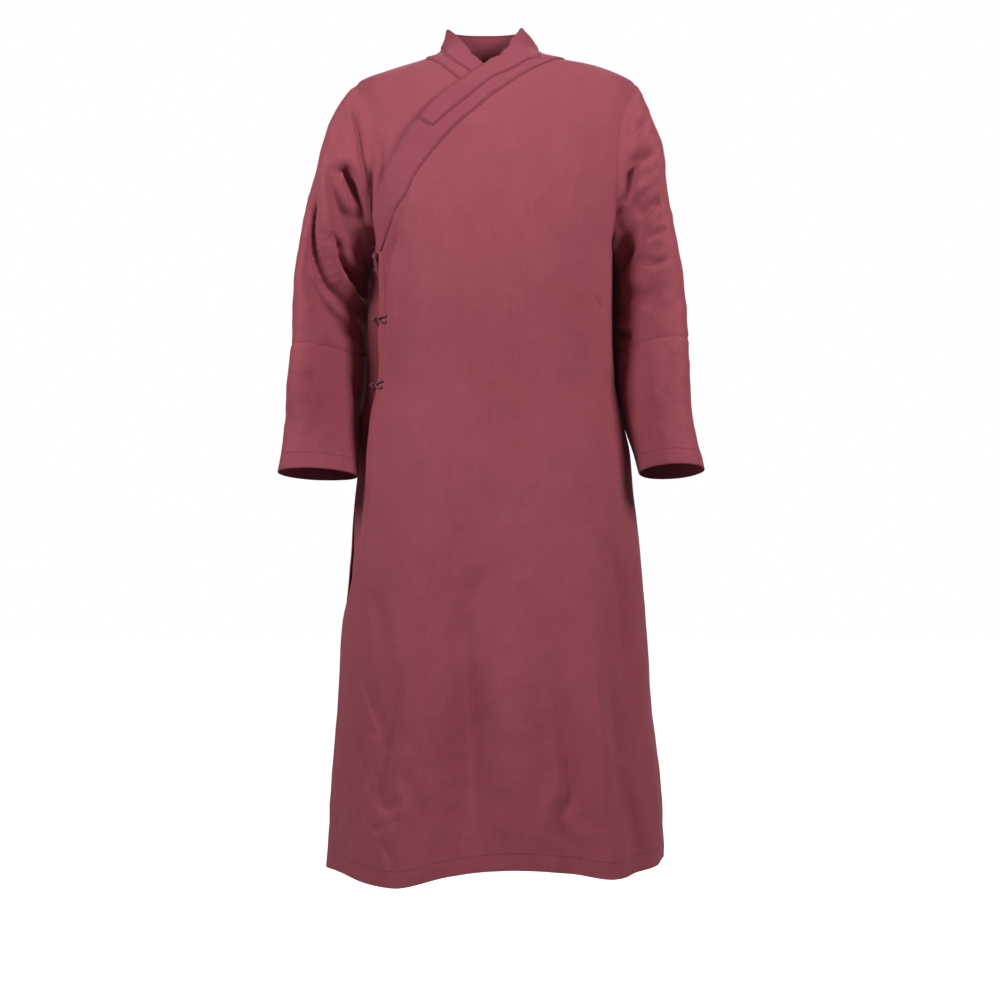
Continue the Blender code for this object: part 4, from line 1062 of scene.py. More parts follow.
def placed(name, data):
    """A new object in the scene that holds this mesh, light or camera."""
    made = bpy.data.objects.new(name, data)
    bpy.context.scene.collection.objects.link(made)
    return made


def soften_joint(mesh, corner_points, count, smooth, share, joint):
    """Turns the shading normals near the armhole to the direction that both pieces share there. Only the
    smooth faces' corners on the outer grid, whose points come before count, are turned."""
    normals = np.empty(3 * len(corner_points), dtype=np.float32)
    mesh.corner_normals.foreach_get("vector", normals)
    normals = normals.reshape(-1, 3)
    outside = (corner_points < count) & smooth
    spot = np.where(outside, corner_points, 0)
    weight = np.where(outside, share.ravel()[spot], 0.0)[:, None]
    mesh.normals_split_custom_set(unit(normals * (1.0 - weight) + joint.reshape(-1, 3)[spot] * weight))


def shell_mesh(name, outer, inner, closed, materials, measures, soften=None):
    """A wall of cloth between two grids, with rims that are shaded flat. The weave's UV map is the
    distance walked along the rows and down the columns, in metres. Measures are named distances from
    a hem or an edge, kept on the points. Soften holds the share and direction of the armhole's normals."""
    rows, columns = outer.shape[:2]
    count = rows * columns
    wide = outer
    if closed:
        wide = np.concatenate([outer, outer[:, :1]], axis=1)
    around = run_lengths(wide, 1)
    around = around - around[:, wide.shape[1] // 2, None]
    down = run_lengths(wide, 0)
    grid = np.arange(wide.shape[0] * wide.shape[1]).reshape(wide.shape[:2])
    real = np.arange(count).reshape(rows, columns)
    real = np.concatenate([real, real[:, :1]], axis=1) if closed else real

    def quads(a, b, c, d):
        return np.stack([a, b, c, d], axis=-1).reshape(-1, 4)

    face = quads(grid[:-1, :-1], grid[:-1, 1:], grid[1:, 1:], grid[1:, :-1])
    face_real = real.ravel()[face]
    walls = [(face, face_real), (face[:, ::-1], face_real[:, ::-1] + count)]
    edges = [(0, slice(None)), (-1, slice(None))]
    if not closed:
        edges = edges + [(slice(None), 0), (slice(None), -1)]
    rims = []
    for number, place in enumerate(edges):
        line = grid[place]
        spots = real[place]
        a, b = line[:-1], line[1:]
        rim = np.stack([a, a, b, b], axis=-1)
        rim_real = np.stack([spots[:-1], spots[:-1] + count, spots[1:] + count, spots[1:]], axis=-1)
        if number in (1, 2):
            rim, rim_real = rim[:, ::-1], rim_real[:, ::-1]
        rims.append((rim, rim_real))
    parts = walls + rims
    corner = np.concatenate([p[0] for p in parts])
    vertex = np.concatenate([p[1] for p in parts])
    across = outer[:-1, 1:] - outer[:-1, :-1]
    ahead = outer[1:, :-1] - outer[:-1, :-1]
    facing = np.sum(np.cross(across, ahead) * (outer - inner)[:-1, :-1])
    if facing < 0.0:
        corner, vertex = corner[:, ::-1], vertex[:, ::-1]

    mesh = bpy.data.meshes.new(name)
    points = np.concatenate([outer.reshape(-1, 3), inner.reshape(-1, 3)])
    mesh.from_pydata(points.tolist(), [], vertex.tolist())
    smooth = np.zeros(len(vertex), dtype=bool)
    smooth[: 2 * len(face)] = True
    mesh.polygons.foreach_set("use_smooth", smooth)
    uv = np.stack([around.ravel(), down.ravel()], axis=-1)[corner.ravel()]
    layer = mesh.uv_layers.new(name="weave")
    layer.uv.foreach_set("vector", uv.ravel().astype(np.float32))
    for key in ("from_hem", "from_edge"):
        values = measures.get(key, np.full((rows, columns), FAR_AWAY))
        held = mesh.attributes.new(key, "FLOAT", "POINT")
        held.data.foreach_set("value", np.tile(values.ravel(), 2).astype(np.float32))
    for material in materials:
        mesh.materials.append(material)
    mesh.update()
    if soften is not None:
        soften_joint(mesh, vertex.ravel(), count, np.repeat(smooth, 4), *soften)
    return placed(name, mesh)


# Shader groups


def shader_group(name, inputs, outputs):
    """An empty shader node group with named float, vector or colour sockets."""
    group = bpy.data.node_groups.new(name, "ShaderNodeTree")
    for label, kind, value in inputs:
        socket = group.interface.new_socket(name=label, in_out="INPUT", socket_type=kind)
        if value is not None:
            socket.default_value = value
    for label, kind in outputs:
        group.interface.new_socket(name=label, in_out="OUTPUT", socket_type=kind)
    start = group.nodes.new("NodeGroupInput")
    end = group.nodes.new("NodeGroupOutput")
    return group, start, end


def math_node(tree, operation, first, second=None, clamp=False):
    """A Math node fed by sockets or numbers; gives its result socket."""
    node = tree.nodes.new("ShaderNodeMath")
    node.operation = operation
    node.use_clamp = clamp
    for place, value in enumerate((first, second)):
        if value is None:
            continue
        if isinstance(value, (int, float)):
            node.inputs[place].default_value = value
        else:
            tree.links.new(value, node.inputs[place])
    return node.outputs[0]


def weighted_sum(tree, parts):
    """The sum of value sockets, each times its weight."""
    total = None
    for value, weight in parts:
        share = math_node(tree, "MULTIPLY", value, weight)
        total = share if total is None else math_node(tree, "ADD", total, share)
    return total


def scaled_noise(tree, vector, scale, detail, roughness):
    """Noise on a vector stretched by a scale for each axis; gives its value socket."""
    stretch = tree.nodes.new("ShaderNodeVectorMath")
    stretch.operation = "MULTIPLY"
    tree.links.new(vector, stretch.inputs[0])
    stretch.inputs[1].default_value = scale
    noise = tree.nodes.new("ShaderNodeTexNoise")
    tree.links.new(stretch.outputs[0], noise.inputs["Vector"])
    noise.inputs["Scale"].default_value = 1.0
    noise.inputs["Detail"].default_value = detail
    noise.inputs["Roughness"].default_value = roughness
    return noise.outputs[0]


# Strands of the linen, as noise drawn out along the warp or the weft: scale, roughness, weight
LINEN_STRANDS = (
    ((700.0, 26.0, 1.0), 0.6, 0.3),
    ((30.0, 760.0, 1.0), 0.6, 0.3),
    ((240.0, 12.0, 1.0), 0.5, 0.2),
    ((14.0, 260.0, 1.0), 0.5, 0.2),
)


def make_weave_group():
    """Linen weave: threads crossing at right angles, with long thin slubs along both directions.
    Tone is about 0.5 and varies with the slubs, Height adds the threads' own relief."""
    group, start, end = shader_group(
        "linen_weave",
        (("Vector", "NodeSocketVector", None), ("Threads", "NodeSocketFloat", 900.0)),
        (("Tone", "NodeSocketFloat"), ("Height", "NodeSocketFloat")),
    )
    vector = start.outputs["Vector"]
    strands = []
    for scale, roughness, weight in LINEN_STRANDS:
        strands.append((scaled_noise(group, vector, scale, 2.0, roughness), weight))
    tone = weighted_sum(group, strands)
    axes = group.nodes.new("ShaderNodeSeparateXYZ")
    group.links.new(vector, axes.inputs[0])
    beats = []
    for axis in (0, 1):
        turn = math_node(group, "MULTIPLY", axes.outputs[axis], start.outputs["Threads"])
        beats.append(math_node(group, "SINE", math_node(group, "MULTIPLY", turn, 2.0 * np.pi)))
    threads = math_node(group, "MULTIPLY", beats[0], beats[1])
    relief = weighted_sum(group, ((threads, 0.10), (tone, 1.6)))
    group.links.new(tone, end.inputs["Tone"])
    group.links.new(relief, end.inputs["Height"])
    return group


def make_tone_group():
    """Slow changes of tone over the cloth, from large soft noise and a little small noise."""
    group, start, end = shader_group(
        "tone_drift",
        (("Vector", "NodeSocketVector", None),),
        (("Tone", "NodeSocketFloat"),),
    )
    vector = start.outputs["Vector"]
    large = scaled_noise(group, vector, (3.2, 3.2, 2.2), 2.0, 0.5)
    small = scaled_noise(group, vector, (26.0, 26.0, 16.0), 3.0, 0.6)
    group.links.new(weighted_sum(group, ((large, 0.7), (small, 0.3))), end.inputs["Tone"])
    return group


# Share of its pitch that a stitch takes up, and the groove's level from which its thread shows
STITCH_SHARE = 0.72
THREAD_EDGE = 0.55


def make_stitch_group():
    """A row of stitches at a distance from an edge. Groove is 1 on the line and falls to 0 at its
    sides, and Thread is 1 on each stitch, which takes up STITCH_SHARE of its pitch."""
    group, start, end = shader_group(
        "stitch_line",
        (
            ("Away", "NodeSocketFloat", 1.0),
            ("Along", "NodeSocketFloat", 0.0),
            ("Offset", "NodeSocketFloat", 0.006),
            ("Width", "NodeSocketFloat", 0.0010),
            ("Pitch", "NodeSocketFloat", 0.0030),
        ),
        (("Groove", "NodeSocketFloat"), ("Thread", "NodeSocketFloat")),
    )
    away = math_node(group, "SUBTRACT", start.outputs["Away"], start.outputs["Offset"])
    share = math_node(group, "DIVIDE", math_node(group, "ABSOLUTE", away), start.outputs["Width"])
    groove = math_node(group, "SUBTRACT", 1.0, share, clamp=True)
    turns = math_node(group, "DIVIDE", start.outputs["Along"], start.outputs["Pitch"])
    dash = math_node(group, "LESS_THAN", math_node(group, "FRACT", turns), STITCH_SHARE)
    thread = math_node(group, "MULTIPLY", dash, math_node(group, "GREATER_THAN", groove, THREAD_EDGE))
    group.links.new(groove, end.inputs["Groove"])
    group.links.new(thread, end.inputs["Thread"])
    return group


# Finishes

WEAVE = make_weave_group()
TONE = make_tone_group()
STITCH = make_stitch_group()

# Stitch lines: share and tone of the painted shade in their groove, its sink and the thread's rise in the
# bump
GROOVE_PAINTED_SHADE = 0.45
GROOVE_SHADE_TONE = 0.45
STITCH_SINK = 6.0
THREAD_RISE = 4.0


def place_group(tree, group):
    """A group node of a shader group."""
    node = tree.nodes.new("ShaderNodeGroup")
    node.node_tree = group
    return node


def attribute_socket(tree, name):
    """The value socket of a named attribute of the mesh."""
    node = tree.nodes.new("ShaderNodeAttribute")
    node.attribute_name = name
    return node.outputs["Fac"]


def mixed(tree, factor, first, second):
    """A colour Mix node; gives its result socket."""
    node = tree.nodes.new("ShaderNodeMix")
    node.data_type = "RGBA"
    for value, socket in ((factor, node.inputs[0]), (first, node.inputs[6]), (second, node.inputs[7])):
        if isinstance(value, (int, float, tuple)):
            socket.default_value = value
        else:
            tree.links.new(value, socket)
    return node.outputs[2]


def spread_range(tree, value, low, high):
    """A value's range low to high brought to 0 to 1."""
    node = tree.nodes.new("ShaderNodeMapRange")
    tree.links.new(value, node.inputs["Value"])
    node.inputs["From Min"].default_value = low
    node.inputs["From Max"].default_value = high
    return node.outputs["Result"]


def faded(colour, share):
    """A colour with each of its three values times a share."""
    return tuple(share * value for value in colour[:3]) + (1.0,)


def rough_and_bump(tree, shader, value, rough, height, strength, distance):
    """Feeds the shader's roughness, a value's 0 to 1 brought to the two given, and its normal, a bump
    of the given height."""
    spread = tree.nodes.new("ShaderNodeMapRange")
    tree.links.new(value, spread.inputs["Value"])
    spread.inputs["To Min"].default_value = rough[0]
    spread.inputs["To Max"].default_value = rough[1]
    tree.links.new(spread.outputs["Result"], shader.inputs["Roughness"])
    bump = tree.nodes.new("ShaderNodeBump")
    bump.inputs["Strength"].default_value = strength
    bump.inputs["Distance"].default_value = distance
    tree.links.new(height, bump.inputs["Height"])
    tree.links.new(bump.outputs["Normal"], shader.inputs["Normal"])


def cloth_material(name, dark, light, hem_offset, edge_offset):
    """Maroon linen: two close tones mixed by the weave and by the slow drift, with painted shade darkening
    the stitch grooves, rough, with a weak sheen and the weave and the stitches in the bump."""
    material = bpy.data.materials.new(name)
    material.use_nodes = True
    tree = material.node_tree
    shader = tree.nodes["Principled BSDF"]
    uv = tree.nodes.new("ShaderNodeUVMap")
    uv.uv_map = "weave"
    place = tree.nodes.new("ShaderNodeTexCoord")
    weave = place_group(tree, WEAVE)
    tree.links.new(uv.outputs[0], weave.inputs["Vector"])
    drift = place_group(tree, TONE)
    tree.links.new(place.outputs["Object"], drift.inputs["Vector"])
    fine = spread_range(tree, weave.outputs["Tone"], 0.28, 0.72)
    slow = spread_range(tree, drift.outputs["Tone"], 0.30, 0.70)
    colour = mixed(tree, weighted_sum(tree, ((fine, 0.55), (slow, 0.45))), dark, light)
    axes = tree.nodes.new("ShaderNodeSeparateXYZ")
    tree.links.new(uv.outputs[0], axes.inputs[0])
    height = weave.outputs["Height"]
    for attribute, axis, offset in (("from_hem", 0, hem_offset), ("from_edge", 1, edge_offset)):
        line = place_group(tree, STITCH)
        tree.links.new(attribute_socket(tree, attribute), line.inputs["Away"])
        tree.links.new(axes.outputs[axis], line.inputs["Along"])
        line.inputs["Offset"].default_value = offset
        # Painted shade: in each stitch groove the colour darkens towards a dim copy of the dark tone.
        shade = math_node(tree, "MULTIPLY", line.outputs["Groove"], GROOVE_PAINTED_SHADE)
        colour = mixed(tree, shade, colour, faded(dark, GROOVE_SHADE_TONE))
        groove = math_node(tree, "MULTIPLY", line.outputs["Groove"], STITCH_SINK)
        thread = math_node(tree, "MULTIPLY", line.outputs["Thread"], THREAD_RISE)
        height = math_node(tree, "ADD", math_node(tree, "SUBTRACT", height, groove), thread)
    tree.links.new(colour, shader.inputs["Base Color"])
    rough_and_bump(tree, shader, weave.outputs["Tone"], (0.94, 0.76), height, 0.55, 0.00012)
    shader.inputs["Sheen Weight"].default_value = 0.22
    shader.inputs["Sheen Roughness"].default_value = 0.50
    shader.inputs["Sheen Tint"].default_value = (1.0, 0.50, 0.58, 1.0)
    shader.inputs["Specular IOR Level"].default_value = 0.12
    return material


def cord_material(name, colour):
    """Cord of the same linen: fine strands, noise drawn out along the height, in the tone and the bump."""
    material = bpy.data.materials.new(name)
    material.use_nodes = True
    tree = material.node_tree
    shader = tree.nodes["Principled BSDF"]
    place = tree.nodes.new("ShaderNodeTexCoord")
    strands = scaled_noise(tree, place.outputs["Object"], (900.0, 900.0, 420.0), 2.0, 0.6)
    share = spread_range(tree, strands, 0.3, 0.7)
    tone = mixed(tree, share, faded(colour, 0.7), faded(colour, 1.25))
    tree.links.new(tone, shader.inputs["Base Color"])
    rough_and_bump(tree, shader, strands, (0.90, 0.72), strands, 0.6, 0.0003)
    shader.inputs["Sheen Weight"].default_value = 0.10
    return material


# Colours: the dark and the light tone of the robe's linen and of the bands' linen, and the cord's tone
CLOTH_DARK = (0.215, 0.042, 0.056, 1.0)
CLOTH_LIGHT = (0.330, 0.078, 0.104, 1.0)
BAND_DARK = (0.198, 0.038, 0.054, 1.0)
BAND_LIGHT = (0.310, 0.072, 0.098, 1.0)
CORD_TONE = (0.17, 0.038, 0.052, 1.0)

# Distance of the stitches from the hem and from the front edge. A band has none along a hem, and this
# distance is past its length.
HEM_STITCH = 0.026
EDGE_STITCH = 0.014
NO_STITCH = 1.5
BAND_STITCH = 0.0030

robe_cloth = cloth_material("maroon_linen_fine", CLOTH_DARK, CLOTH_LIGHT, HEM_STITCH, EDGE_STITCH)
band_cloth = cloth_material("maroon_band_fine", BAND_DARK, BAND_LIGHT, NO_STITCH, BAND_STITCH)
cord_cloth = cord_material("maroon_cord_fine", CORD_TONE)


# Body panels


def fine_heights():
    """Row heights from the neckline to the hem, with the rings' own heights at the armhole."""
    neck = np.linspace(NECKLINE_Z, SHOULDER_Z, NECK_ROWS + 1)[:-1]
    armhole = ring_height(np.radians(np.linspace(0.0, 180.0, RING_COUNT // 2 + 1)))
    below = np.linspace(UNDERARM_Z, HEM_Z, SKIRT_ROWS + 1)[1:]
    return np.concatenate([neck, armhole, below])


ROWS = fine_heights()


def make_panel(name, left, right, columns, layer, open_column):
    """A body panel between two edge angles at each height, with even columns between them. The column at
    the open side has a row of stitches beside it below the underarm."""
    share = np.linspace(0.0, 1.0, columns + 1)
    phi = left[:, None] + (right - left)[:, None] * share
    z = np.broadcast_to(ROWS[:, None], phi.shape)
    outer, inner, *joint = body_shell(phi, z, layer(phi, z))
    down = run_lengths(outer, 0)
    around = run_lengths(outer, 1)
    gap = np.abs(around - around[:, open_column, None])
    measures = {"from_hem": down[-1] - down, "from_edge": gap + FAR_AWAY * (z > UNDERARM_Z)}
    return shell_mesh(name, outer, inner, False, [robe_cloth], measures, joint)


AHEAD = side_angle(ROWS)
BEHIND = side_angle(ROWS, back=True)
robe_back = make_panel("robe_back", 180.0 - BEHIND, 180.0 + BEHIND, BACK_COLUMNS, side_flare, -1)
FREE_EDGE = smooth_table(OUTER_EDGE, ROWS)[..., 0]
HIDDEN_EDGE = smooth_table(UNDER_EDGE, ROWS)[..., 0]
robe_outer_front = make_panel("robe_outer_front", FREE_EDGE, AHEAD, OUTER_COLUMNS, outer_layer, 0)
robe_under_front = make_panel("robe_under_front", -AHEAD, HIDDEN_EDGE, UNDER_COLUMNS, under_side_layer, 0)


# Sleeves


def make_sleeve(name, side):
    """A sleeve's upper piece and its lengthening piece, with rows that stand closer at their seam. The
    upper piece's first row is moved off the armhole by JOINT_GAP."""
    last = float(len(LEFT_RINGS))
    near_seam = np.array(NEAR_SEAM)
    above = np.linspace(0.0, SEAM_RING - SEAM_CLEAR, SLEEVE_ROWS)
    upper = np.concatenate([above, SEAM_RING - near_seam, [SEAM_RING]])
    start = SEAM_RING + SEAM_GAP / SEAM_RING_LENGTH
    below = np.linspace(SEAM_RING + SEAM_CLEAR, last, CUFF_ROWS)
    lower = np.concatenate([[start], SEAM_RING + near_seam[::-1], below])
    creases = (LEFT_CREASES, LEFT_CUFF_CREASES) if side > 0 else (RIGHT_CREASES, RIGHT_CUFF_CREASES)
    outer, inner, *joint = sleeve_shell(side, upper, creases[0])
    tangent = np.roll(outer[0], -1, axis=0) - np.roll(outer[0], 1, axis=0)
    off = unit(np.cross(tangent, outer[0] - inner[0]))
    off = off * np.sign(np.sum(off * (outer[3] - outer[0]), axis=-1, keepdims=True))
    outer[0] += off * JOINT_GAP
    inner[0] += off * JOINT_GAP
    upper_piece = shell_mesh(f"upper_sleeve_{name}", outer, inner, True, [robe_cloth], {}, joint)
    outer, inner = sleeve_shell(side, lower, creases[1])[:2]
    down = run_lengths(outer, 0)
    measures = {"from_hem": down[-1] - down}
    lower_piece = shell_mesh(f"lower_sleeve_{name}", outer, inner, True, [robe_cloth], measures)
    return upper_piece, lower_piece


sleeve_left, cuff_left = make_sleeve("left", 1)
sleeve_right, cuff_right = make_sleeve("right", -1)


# Bands

# Thickness of a band at its edge and beside it, as a share, and the rows that the bulge of its end takes
EDGE_FULLNESS = (0.35, 0.85)
BULGE_ROWS = 3


def make_band(name, table, gap, end_bulge):
    """A band on the fronts and round the neck: thin and rounded at its long edges, full between. Its rows
    stand BAND_ROW apart along the table's cubic, and its end bulges by a half sine wave."""
    keyed = [(float(i), *row) for i, row in enumerate(table)]
    fine = np.linspace(0.0, len(table) - 1.0, BAND_SAMPLES * len(table))
    middle = smooth_table(keyed, fine)
    line = form_base(0.5 * (middle[:, 0] + middle[:, 2]), 0.5 * (middle[:, 1] + middle[:, 3]))
    run = np.concatenate([[0.0], np.cumsum(np.linalg.norm(np.diff(line, axis=0), axis=1))])
    stations = np.interp(np.linspace(0.0, run[-1], round(run[-1] / BAND_ROW) + 1), run, fine)
    edges = smooth_table(keyed, stations)
    inside = np.linspace(0.09, 0.91, BAND_COLUMNS - 3)
    share = np.concatenate([[0.0, 0.025], inside, [0.975, 1.0]])
    fullness = np.ones(len(share))
    fullness[[0, -1]], fullness[[1, -2]] = EDGE_FULLNESS
    low_phi, low_z, high_phi, high_z = (edges[:, i, None] for i in range(4))
    phi = low_phi + (high_phi - low_phi) * share
    z = low_z + (high_z - low_z) * share
    step = end_bulge * np.sin(np.pi * share) * np.linspace(1.0, 0.0, BULGE_ROWS + 1)[:-1, None]
    for grid in (phi, z):
        grid[:BULGE_ROWS] += (grid[0] - grid[BULGE_ROWS]) * step
    layer = np.where(phi <= 180.0, outer_layer(phi, z), under_layer(phi, z))
    hug = BAND_HUG * (1.0 - fullness)
    lift = layer + gap - hug + body_relief(phi, z) + skirt_folds(phi, z)
    base = form_base(phi, z)
    pucker = waves(base, seed=91, shortest=0.018, longest=0.045, height=0.00022)
    normal = form_normal(phi, z)
    inner = base + normal * lift[..., None]
    outer = inner + normal * (BAND_CLOTH * fullness + np.abs(pucker))[..., None]
    around = run_lengths(outer, 1)
    along = run_lengths(outer, 0)
    edge = np.minimum(around, around[:, -1:] - around)
    measures = {"from_edge": np.minimum(edge, along)}
    return shell_mesh(name, outer, inner, False, [band_cloth], measures)


wide_band = make_band("collar_wide_band", OUTER_BAND, BAND_GAP, 0.0)
narrow_band = make_band("collar_neckband", NECKBAND, 2.0 * BAND_GAP + BAND_CLOTH, NECKBAND_END_BULGE)


# Tie and knot buttons


def cord_mesh(name, paths, radii, sides, closed, material):
    """Round cords along paths, joined in one mesh. At each point of a path a ring of the given radius
    stands square to it, without twist from one to the next, and a flat face closes each open end."""
    points = []
    faces = []
    for path, radius in zip(paths, radii):
        ahead = unit(np.gradient(path, axis=0))
        if closed:
            ahead = unit(np.roll(path, -1, axis=0) - np.roll(path, 1, axis=0))
        across = np.zeros_like(path)
        way = np.cross(ahead[0], [0.0, 0.0, 1.0])
        way = way if np.linalg.norm(way) > 0.1 else np.cross(ahead[0], [0.0, 1.0, 0.0])
        for i, direction in enumerate(ahead):
            way = unit(way - direction * np.dot(way, direction))
            across[i] = way
        other = np.cross(ahead, across)
        turn = 2.0 * np.pi * np.arange(sides) / sides
        ring = np.cos(turn)[:, None] * across[:, None, :] + np.sin(turn)[:, None] * other[:, None, :]
        tube = path[:, None, :] + ring * np.asarray(radius)[:, None, None]
        first = sum(len(p) for p in points)
        grid = first + np.arange(len(path) * sides).reshape(len(path), sides)
        grid = np.concatenate([grid, grid[:, :1]], axis=1)
        grid = np.concatenate([grid, grid[:1]], axis=0) if closed else grid
        quads = np.stack([grid[:-1, :-1], grid[:-1, 1:], grid[1:, 1:], grid[1:, :-1]], axis=-1)
        faces.extend(quads.reshape(-1, 4).tolist())
        if not closed:
            faces.append(grid[0, :-1][::-1].tolist())
            faces.append(grid[-1, :-1].tolist())
        points.append(tube.reshape(-1, 3))
    mesh = bpy.data.meshes.new(name)
    mesh.from_pydata(np.concatenate(points).tolist(), [], faces)
    mesh.shade_smooth()
    mesh.materials.append(material)
    return placed(name, mesh)


def creased_form(phi, z, out):
    """Points of the form moved out by a distance, over its folds and creases."""
    return form(phi, z, out + body_relief(phi, z))


def local_frame(phi, z, out):
    """A point on the cloth with the directions across, up and outwards there."""
    at = creased_form(np.array([phi]), np.array([z]), np.array([out]))[0]
    outward = form_normal(np.array(phi), np.array(z))
    up = unit(np.array([0.0, 0.0, 1.0]) - outward * outward[2])
    return at, np.cross(up, outward), up, outward


def make_tie():
    """The side tie: a trefoil knot of thin cord drawn tight, from sines and cosines of one, two and three
    turns, and two short hanging ends that sway by a sine and taper at the tip."""
    at, across, up, outward = local_frame(TIE_ANGLE, TIE_Z, TIE_LIFT)
    turn = np.linspace(0.0, 2.0 * np.pi, 97)[:-1]
    flat = TIE_KNOT_SIZE * (np.sin(turn) + 2.0 * np.sin(2.0 * turn))
    tall = TIE_KNOT_HEIGHT * TIE_KNOT_SIZE * (np.cos(turn) - 2.0 * np.cos(2.0 * turn))
    deep = -TIE_KNOT_DEPTH * TIE_KNOT_SIZE * np.sin(3.0 * turn)
    path = at + flat[:, None] * across + tall[:, None] * up + deep[:, None] * outward
    knot = cord_mesh("side_tie_knot_cord", [path], [np.full(len(path), CORD_RADIUS)], 12, True, cord_cloth)
    ends = []
    radii = []
    share = np.linspace(0.0, 1.0, 26)
    for number, (start, end, length) in enumerate(TIE_ENDS):
        z = TIE_Z - TIE_END_DROP - (length + TIE_END_EXTRA) * share
        bend = TIE_END_SWAY * np.sin(TIE_END_WAVES * np.pi * share + number)
        phi = start + (end - start) * share + bend * share
        lift = TIE_LIFT + (TIE_END_LIFT - TIE_LIFT) * ease(TIE_END_SETTLE * share)
        ends.append(creased_form(phi, z, lift))
        taper = np.clip(TIE_END_TAPER[0] * (1.0 - share) + TIE_END_TAPER[1], 0.0, 1.0)
        radii.append(CORD_RADIUS * taper)
    tails = cord_mesh("side_tie_ends", ends, radii, 10, False, cord_cloth)
    return knot, tails


def make_buttons():
    """Knot buttons: a loop of cord on the outer front's edge, and a ball woven from cord on a leg. The
    ball's path runs three times round while it swings up and down four times."""
    loops, knobs = [], []
    for number, height in enumerate(BUTTON_HEIGHTS, start=1):
        edge = float(smooth_table(OUTER_EDGE, height)[..., 0])
        turns = np.linspace(-1.0, 1.0, 41)
        bend = np.sqrt(np.clip(1.0 - turns**2, 0.0, 1.0))
        phi = edge + BUTTON_LOOP_LENGTH - (BUTTON_LOOP_LENGTH - 1.0) * bend
        z = height + BUTTON_LOOP_HALF * np.sin(0.5 * np.pi * turns)
        path = creased_form(phi, z, np.full(phi.shape, LAP_BELOW + SEAM_GAP + CORD_RADIUS))
        radius = np.full(len(path), CORD_RADIUS)
        loops.append(cord_mesh(f"knot_button_loop_{number}", [path], [radius], 10, False, cord_cloth))

        leg_end = edge - BUTTON_LEG
        leg_run = edge - BUTTON_SEAT + BUTTON_SEAT_EXTRA - leg_end
        place = leg_end + leg_run * BALL_PLACE
        flare = float(side_flare(np.array(place), np.array(height)))
        seat = SEAM_GAP + BUTTON_RADIUS + flare + BUTTON_LIFT
        at, across, up, outward = local_frame(place, height, seat)
        t = np.linspace(0.0, 2.0 * np.pi, 241)[:-1]
        lift = BALL_SWING * np.sin(4.0 * t)
        ball = BALL_RADIUS + BALL_RIPPLE * np.cos(12.0 * t)
        weave_path = at + (
            (ball * np.cos(lift) * np.cos(3.0 * t))[:, None] * up
            + (ball * np.cos(lift) * np.sin(3.0 * t))[:, None] * outward
            + (ball * np.sin(lift))[:, None] * across
        )
        radius = np.full(len(t), BALL_CORD_RADIUS)
        woven = cord_mesh(f"knot_button_ball_{number}", [weave_path], [radius], 9, True, cord_cloth)
        share = np.linspace(0.0, LEG_SHARE, LEG_POINTS)
        phi = leg_end + leg_run * share
        level = np.full(phi.shape, height)
        raised = SEAM_GAP + np.interp(share, *zip(*LEG_RISE))
        path = creased_form(phi, level, raised + side_flare(phi, level) + BUTTON_LIFT)
        radius = np.linspace(CORD_RADIUS, LEG_TIP_RADIUS, LEG_POINTS)
        leg = cord_mesh(f"knot_button_leg_{number}", [path], [radius], 10, False, cord_cloth)
        knobs.append((woven, leg))
    return loops, knobs


tie_knot, tie_ends = make_tie()
button_loops, button_knobs = make_buttons()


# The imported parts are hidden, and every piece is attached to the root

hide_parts("back_panel")
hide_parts("outer_front")
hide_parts("under_front")
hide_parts("sleeve_left")
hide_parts("sleeve_right")
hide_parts("cuff_piece_left")
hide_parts("cuff_piece_right")
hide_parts("outer_band")
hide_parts("neckband")
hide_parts("side_tie_knot")
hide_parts("side_tie_end_1", "side_tie_end_2")
for number, (loop, (ball, leg)) in enumerate(zip(button_loops, button_knobs), start=1):
    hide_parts(f"button_loop_{number}")
    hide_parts(f"button_knob_{number}")

panels = [robe_back, robe_outer_front, robe_under_front]
cloth_pieces = panels + [sleeve_left, sleeve_right, cuff_left, cuff_right]
band_pieces = [wide_band, narrow_band]
cord_pieces = [tie_knot, tie_ends] + button_loops + [piece for pair in button_knobs for piece in pair]
for pieces, slot in ((cloth_pieces, "robe_cloth"), (band_pieces, "band_cloth"), (cord_pieces, "cord_cloth")):
    for piece in pieces:
        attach(piece, "root")


# Stage, lights and camera

# Floor: half its width and its height
FLOOR_HALF = 9.0
FLOOR_Z = -1.585
# Glow of the floor and of the air, as the scene is lit by it and as the camera sees it
FLOOR_GLOW = (0.02, 1.00)
AIR_GLOW = (0.11, 1.0)
# Angle, in degrees, over which a light spreads
LIGHT_SPREAD = 120.0

# Camera: side shift, distance in front of the origin and height, sensor, and the width that it takes in
# at the origin
CAMERA_X = 0.0166
CAMERA_AWAY = 3.2
CAMERA_Z = -0.730
SENSOR = 36.0
VIEW_WIDTH = 1.66


def camera_glow(tree, levels, socket):
    """Feeds a strength socket: the first level for light in the scene, the second for the camera."""
    ray = tree.nodes.new("ShaderNodeLightPath")
    glow = tree.nodes.new("ShaderNodeMapRange")
    glow.inputs["To Min"].default_value = levels[0]
    glow.inputs["To Max"].default_value = levels[1]
    tree.links.new(ray.outputs["Is Camera Ray"], glow.inputs["Value"])
    tree.links.new(glow.outputs["Result"], socket)


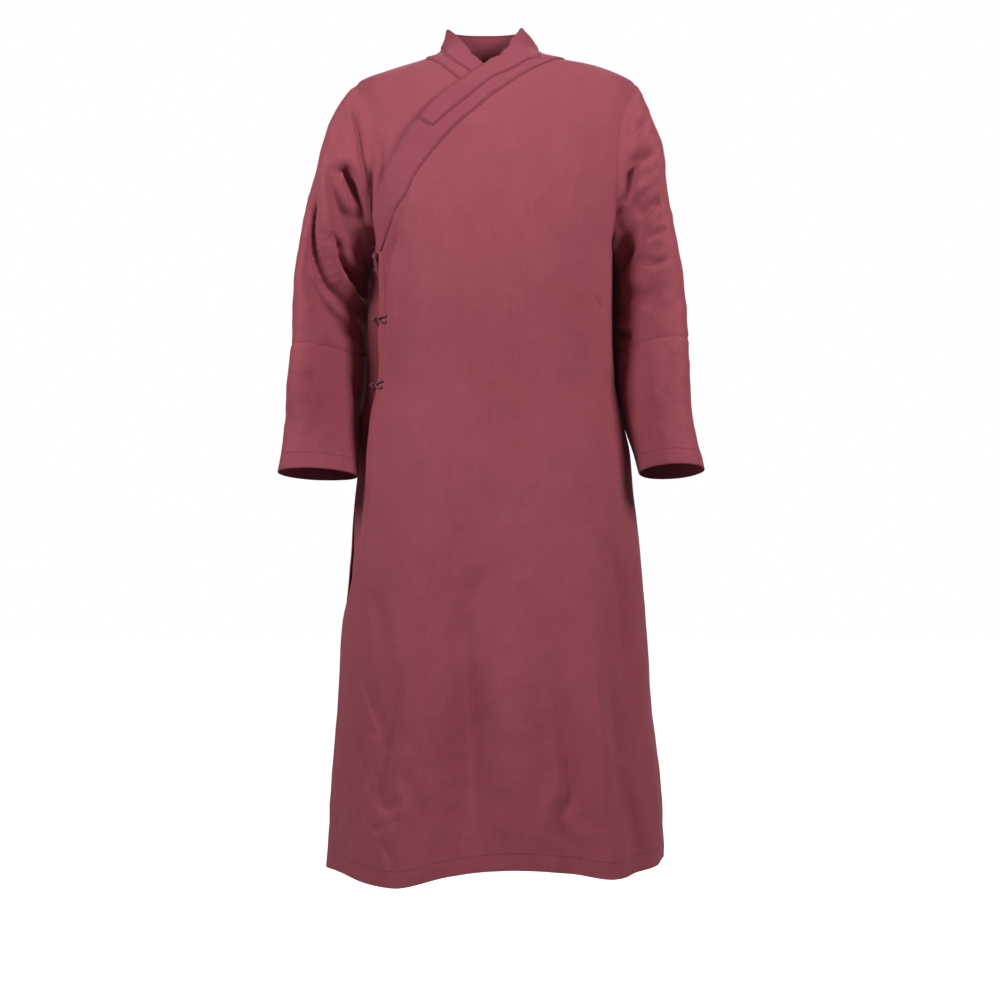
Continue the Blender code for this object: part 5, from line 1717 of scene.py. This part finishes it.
def make_floor():
    """A pale floor, a wide flat square that the camera sees white."""
    corners = [(-1, -1), (1, -1), (1, 1), (-1, 1)]
    points = [(FLOOR_HALF * x, FLOOR_HALF * y, FLOOR_Z) for x, y in corners]
    mesh = bpy.data.meshes.new("studio_floor")
    mesh.from_pydata(points, [], [(0, 1, 2, 3)])
    material = bpy.data.materials.new("studio_white")
    material.use_nodes = True
    shader = material.node_tree.nodes["Principled BSDF"]
    shader.inputs["Base Color"].default_value = (0.40, 0.40, 0.40, 1.0)
    shader.inputs["Roughness"].default_value = 1.0
    shader.inputs["Emission Color"].default_value = (1.0, 1.0, 1.0, 1.0)
    camera_glow(material.node_tree, FLOOR_GLOW, shader.inputs["Emission Strength"])
    mesh.materials.append(material)
    return placed("studio_floor", mesh)


def make_light(name, place, target, size, power, colour):
    """A square soft light aimed at a point."""
    data = bpy.data.lights.new(name, "AREA")
    data.shape = "SQUARE"
    data.size = size
    data.spread = np.radians(LIGHT_SPREAD)
    data.energy = power
    data.color = colour
    made = placed(name, data)
    made.location = place
    way = np.array(target) - np.array(place)
    flat = np.hypot(way[0], way[1])
    made.rotation_euler = (np.arctan2(flat, -way[2]), 0.0, np.arctan2(way[1], way[0]) - np.pi / 2.0)


make_floor()
make_light("soft_key", (2.05, -1.80, 0.80), (0.0, 0.0, -0.06), 0.8, 34.0, (1.0, 0.985, 0.97))
make_light("soft_side", (-2.20, -1.60, 0.70), (0.0, 0.0, -0.02), 1.0, 33.0, (1.0, 0.99, 0.98))
make_light("soft_back", (0.6, 3.2, 1.4), (0.0, 0.0, -0.6), 2.0, 34.0, (1.0, 1.0, 1.0))

world = bpy.data.worlds.new("studio_air")
bpy.context.scene.world = world
world.use_nodes = True
air = world.node_tree.nodes["Background"]
air.inputs["Color"].default_value = (1.0, 1.0, 1.0, 1.0)
camera_glow(world.node_tree, AIR_GLOW, air.inputs["Strength"])

view = bpy.data.cameras.new("photo_view")
view.sensor_width = SENSOR
view.lens = SENSOR * CAMERA_AWAY / VIEW_WIDTH
camera = placed("photo_view", view)
camera.location = (CAMERA_X, -CAMERA_AWAY, CAMERA_Z)
camera.rotation_euler = (np.pi / 2.0, 0.0, 0.0)
bpy.context.scene.camera = camera
bpy.context.scene.view_settings.view_transform = "Standard"
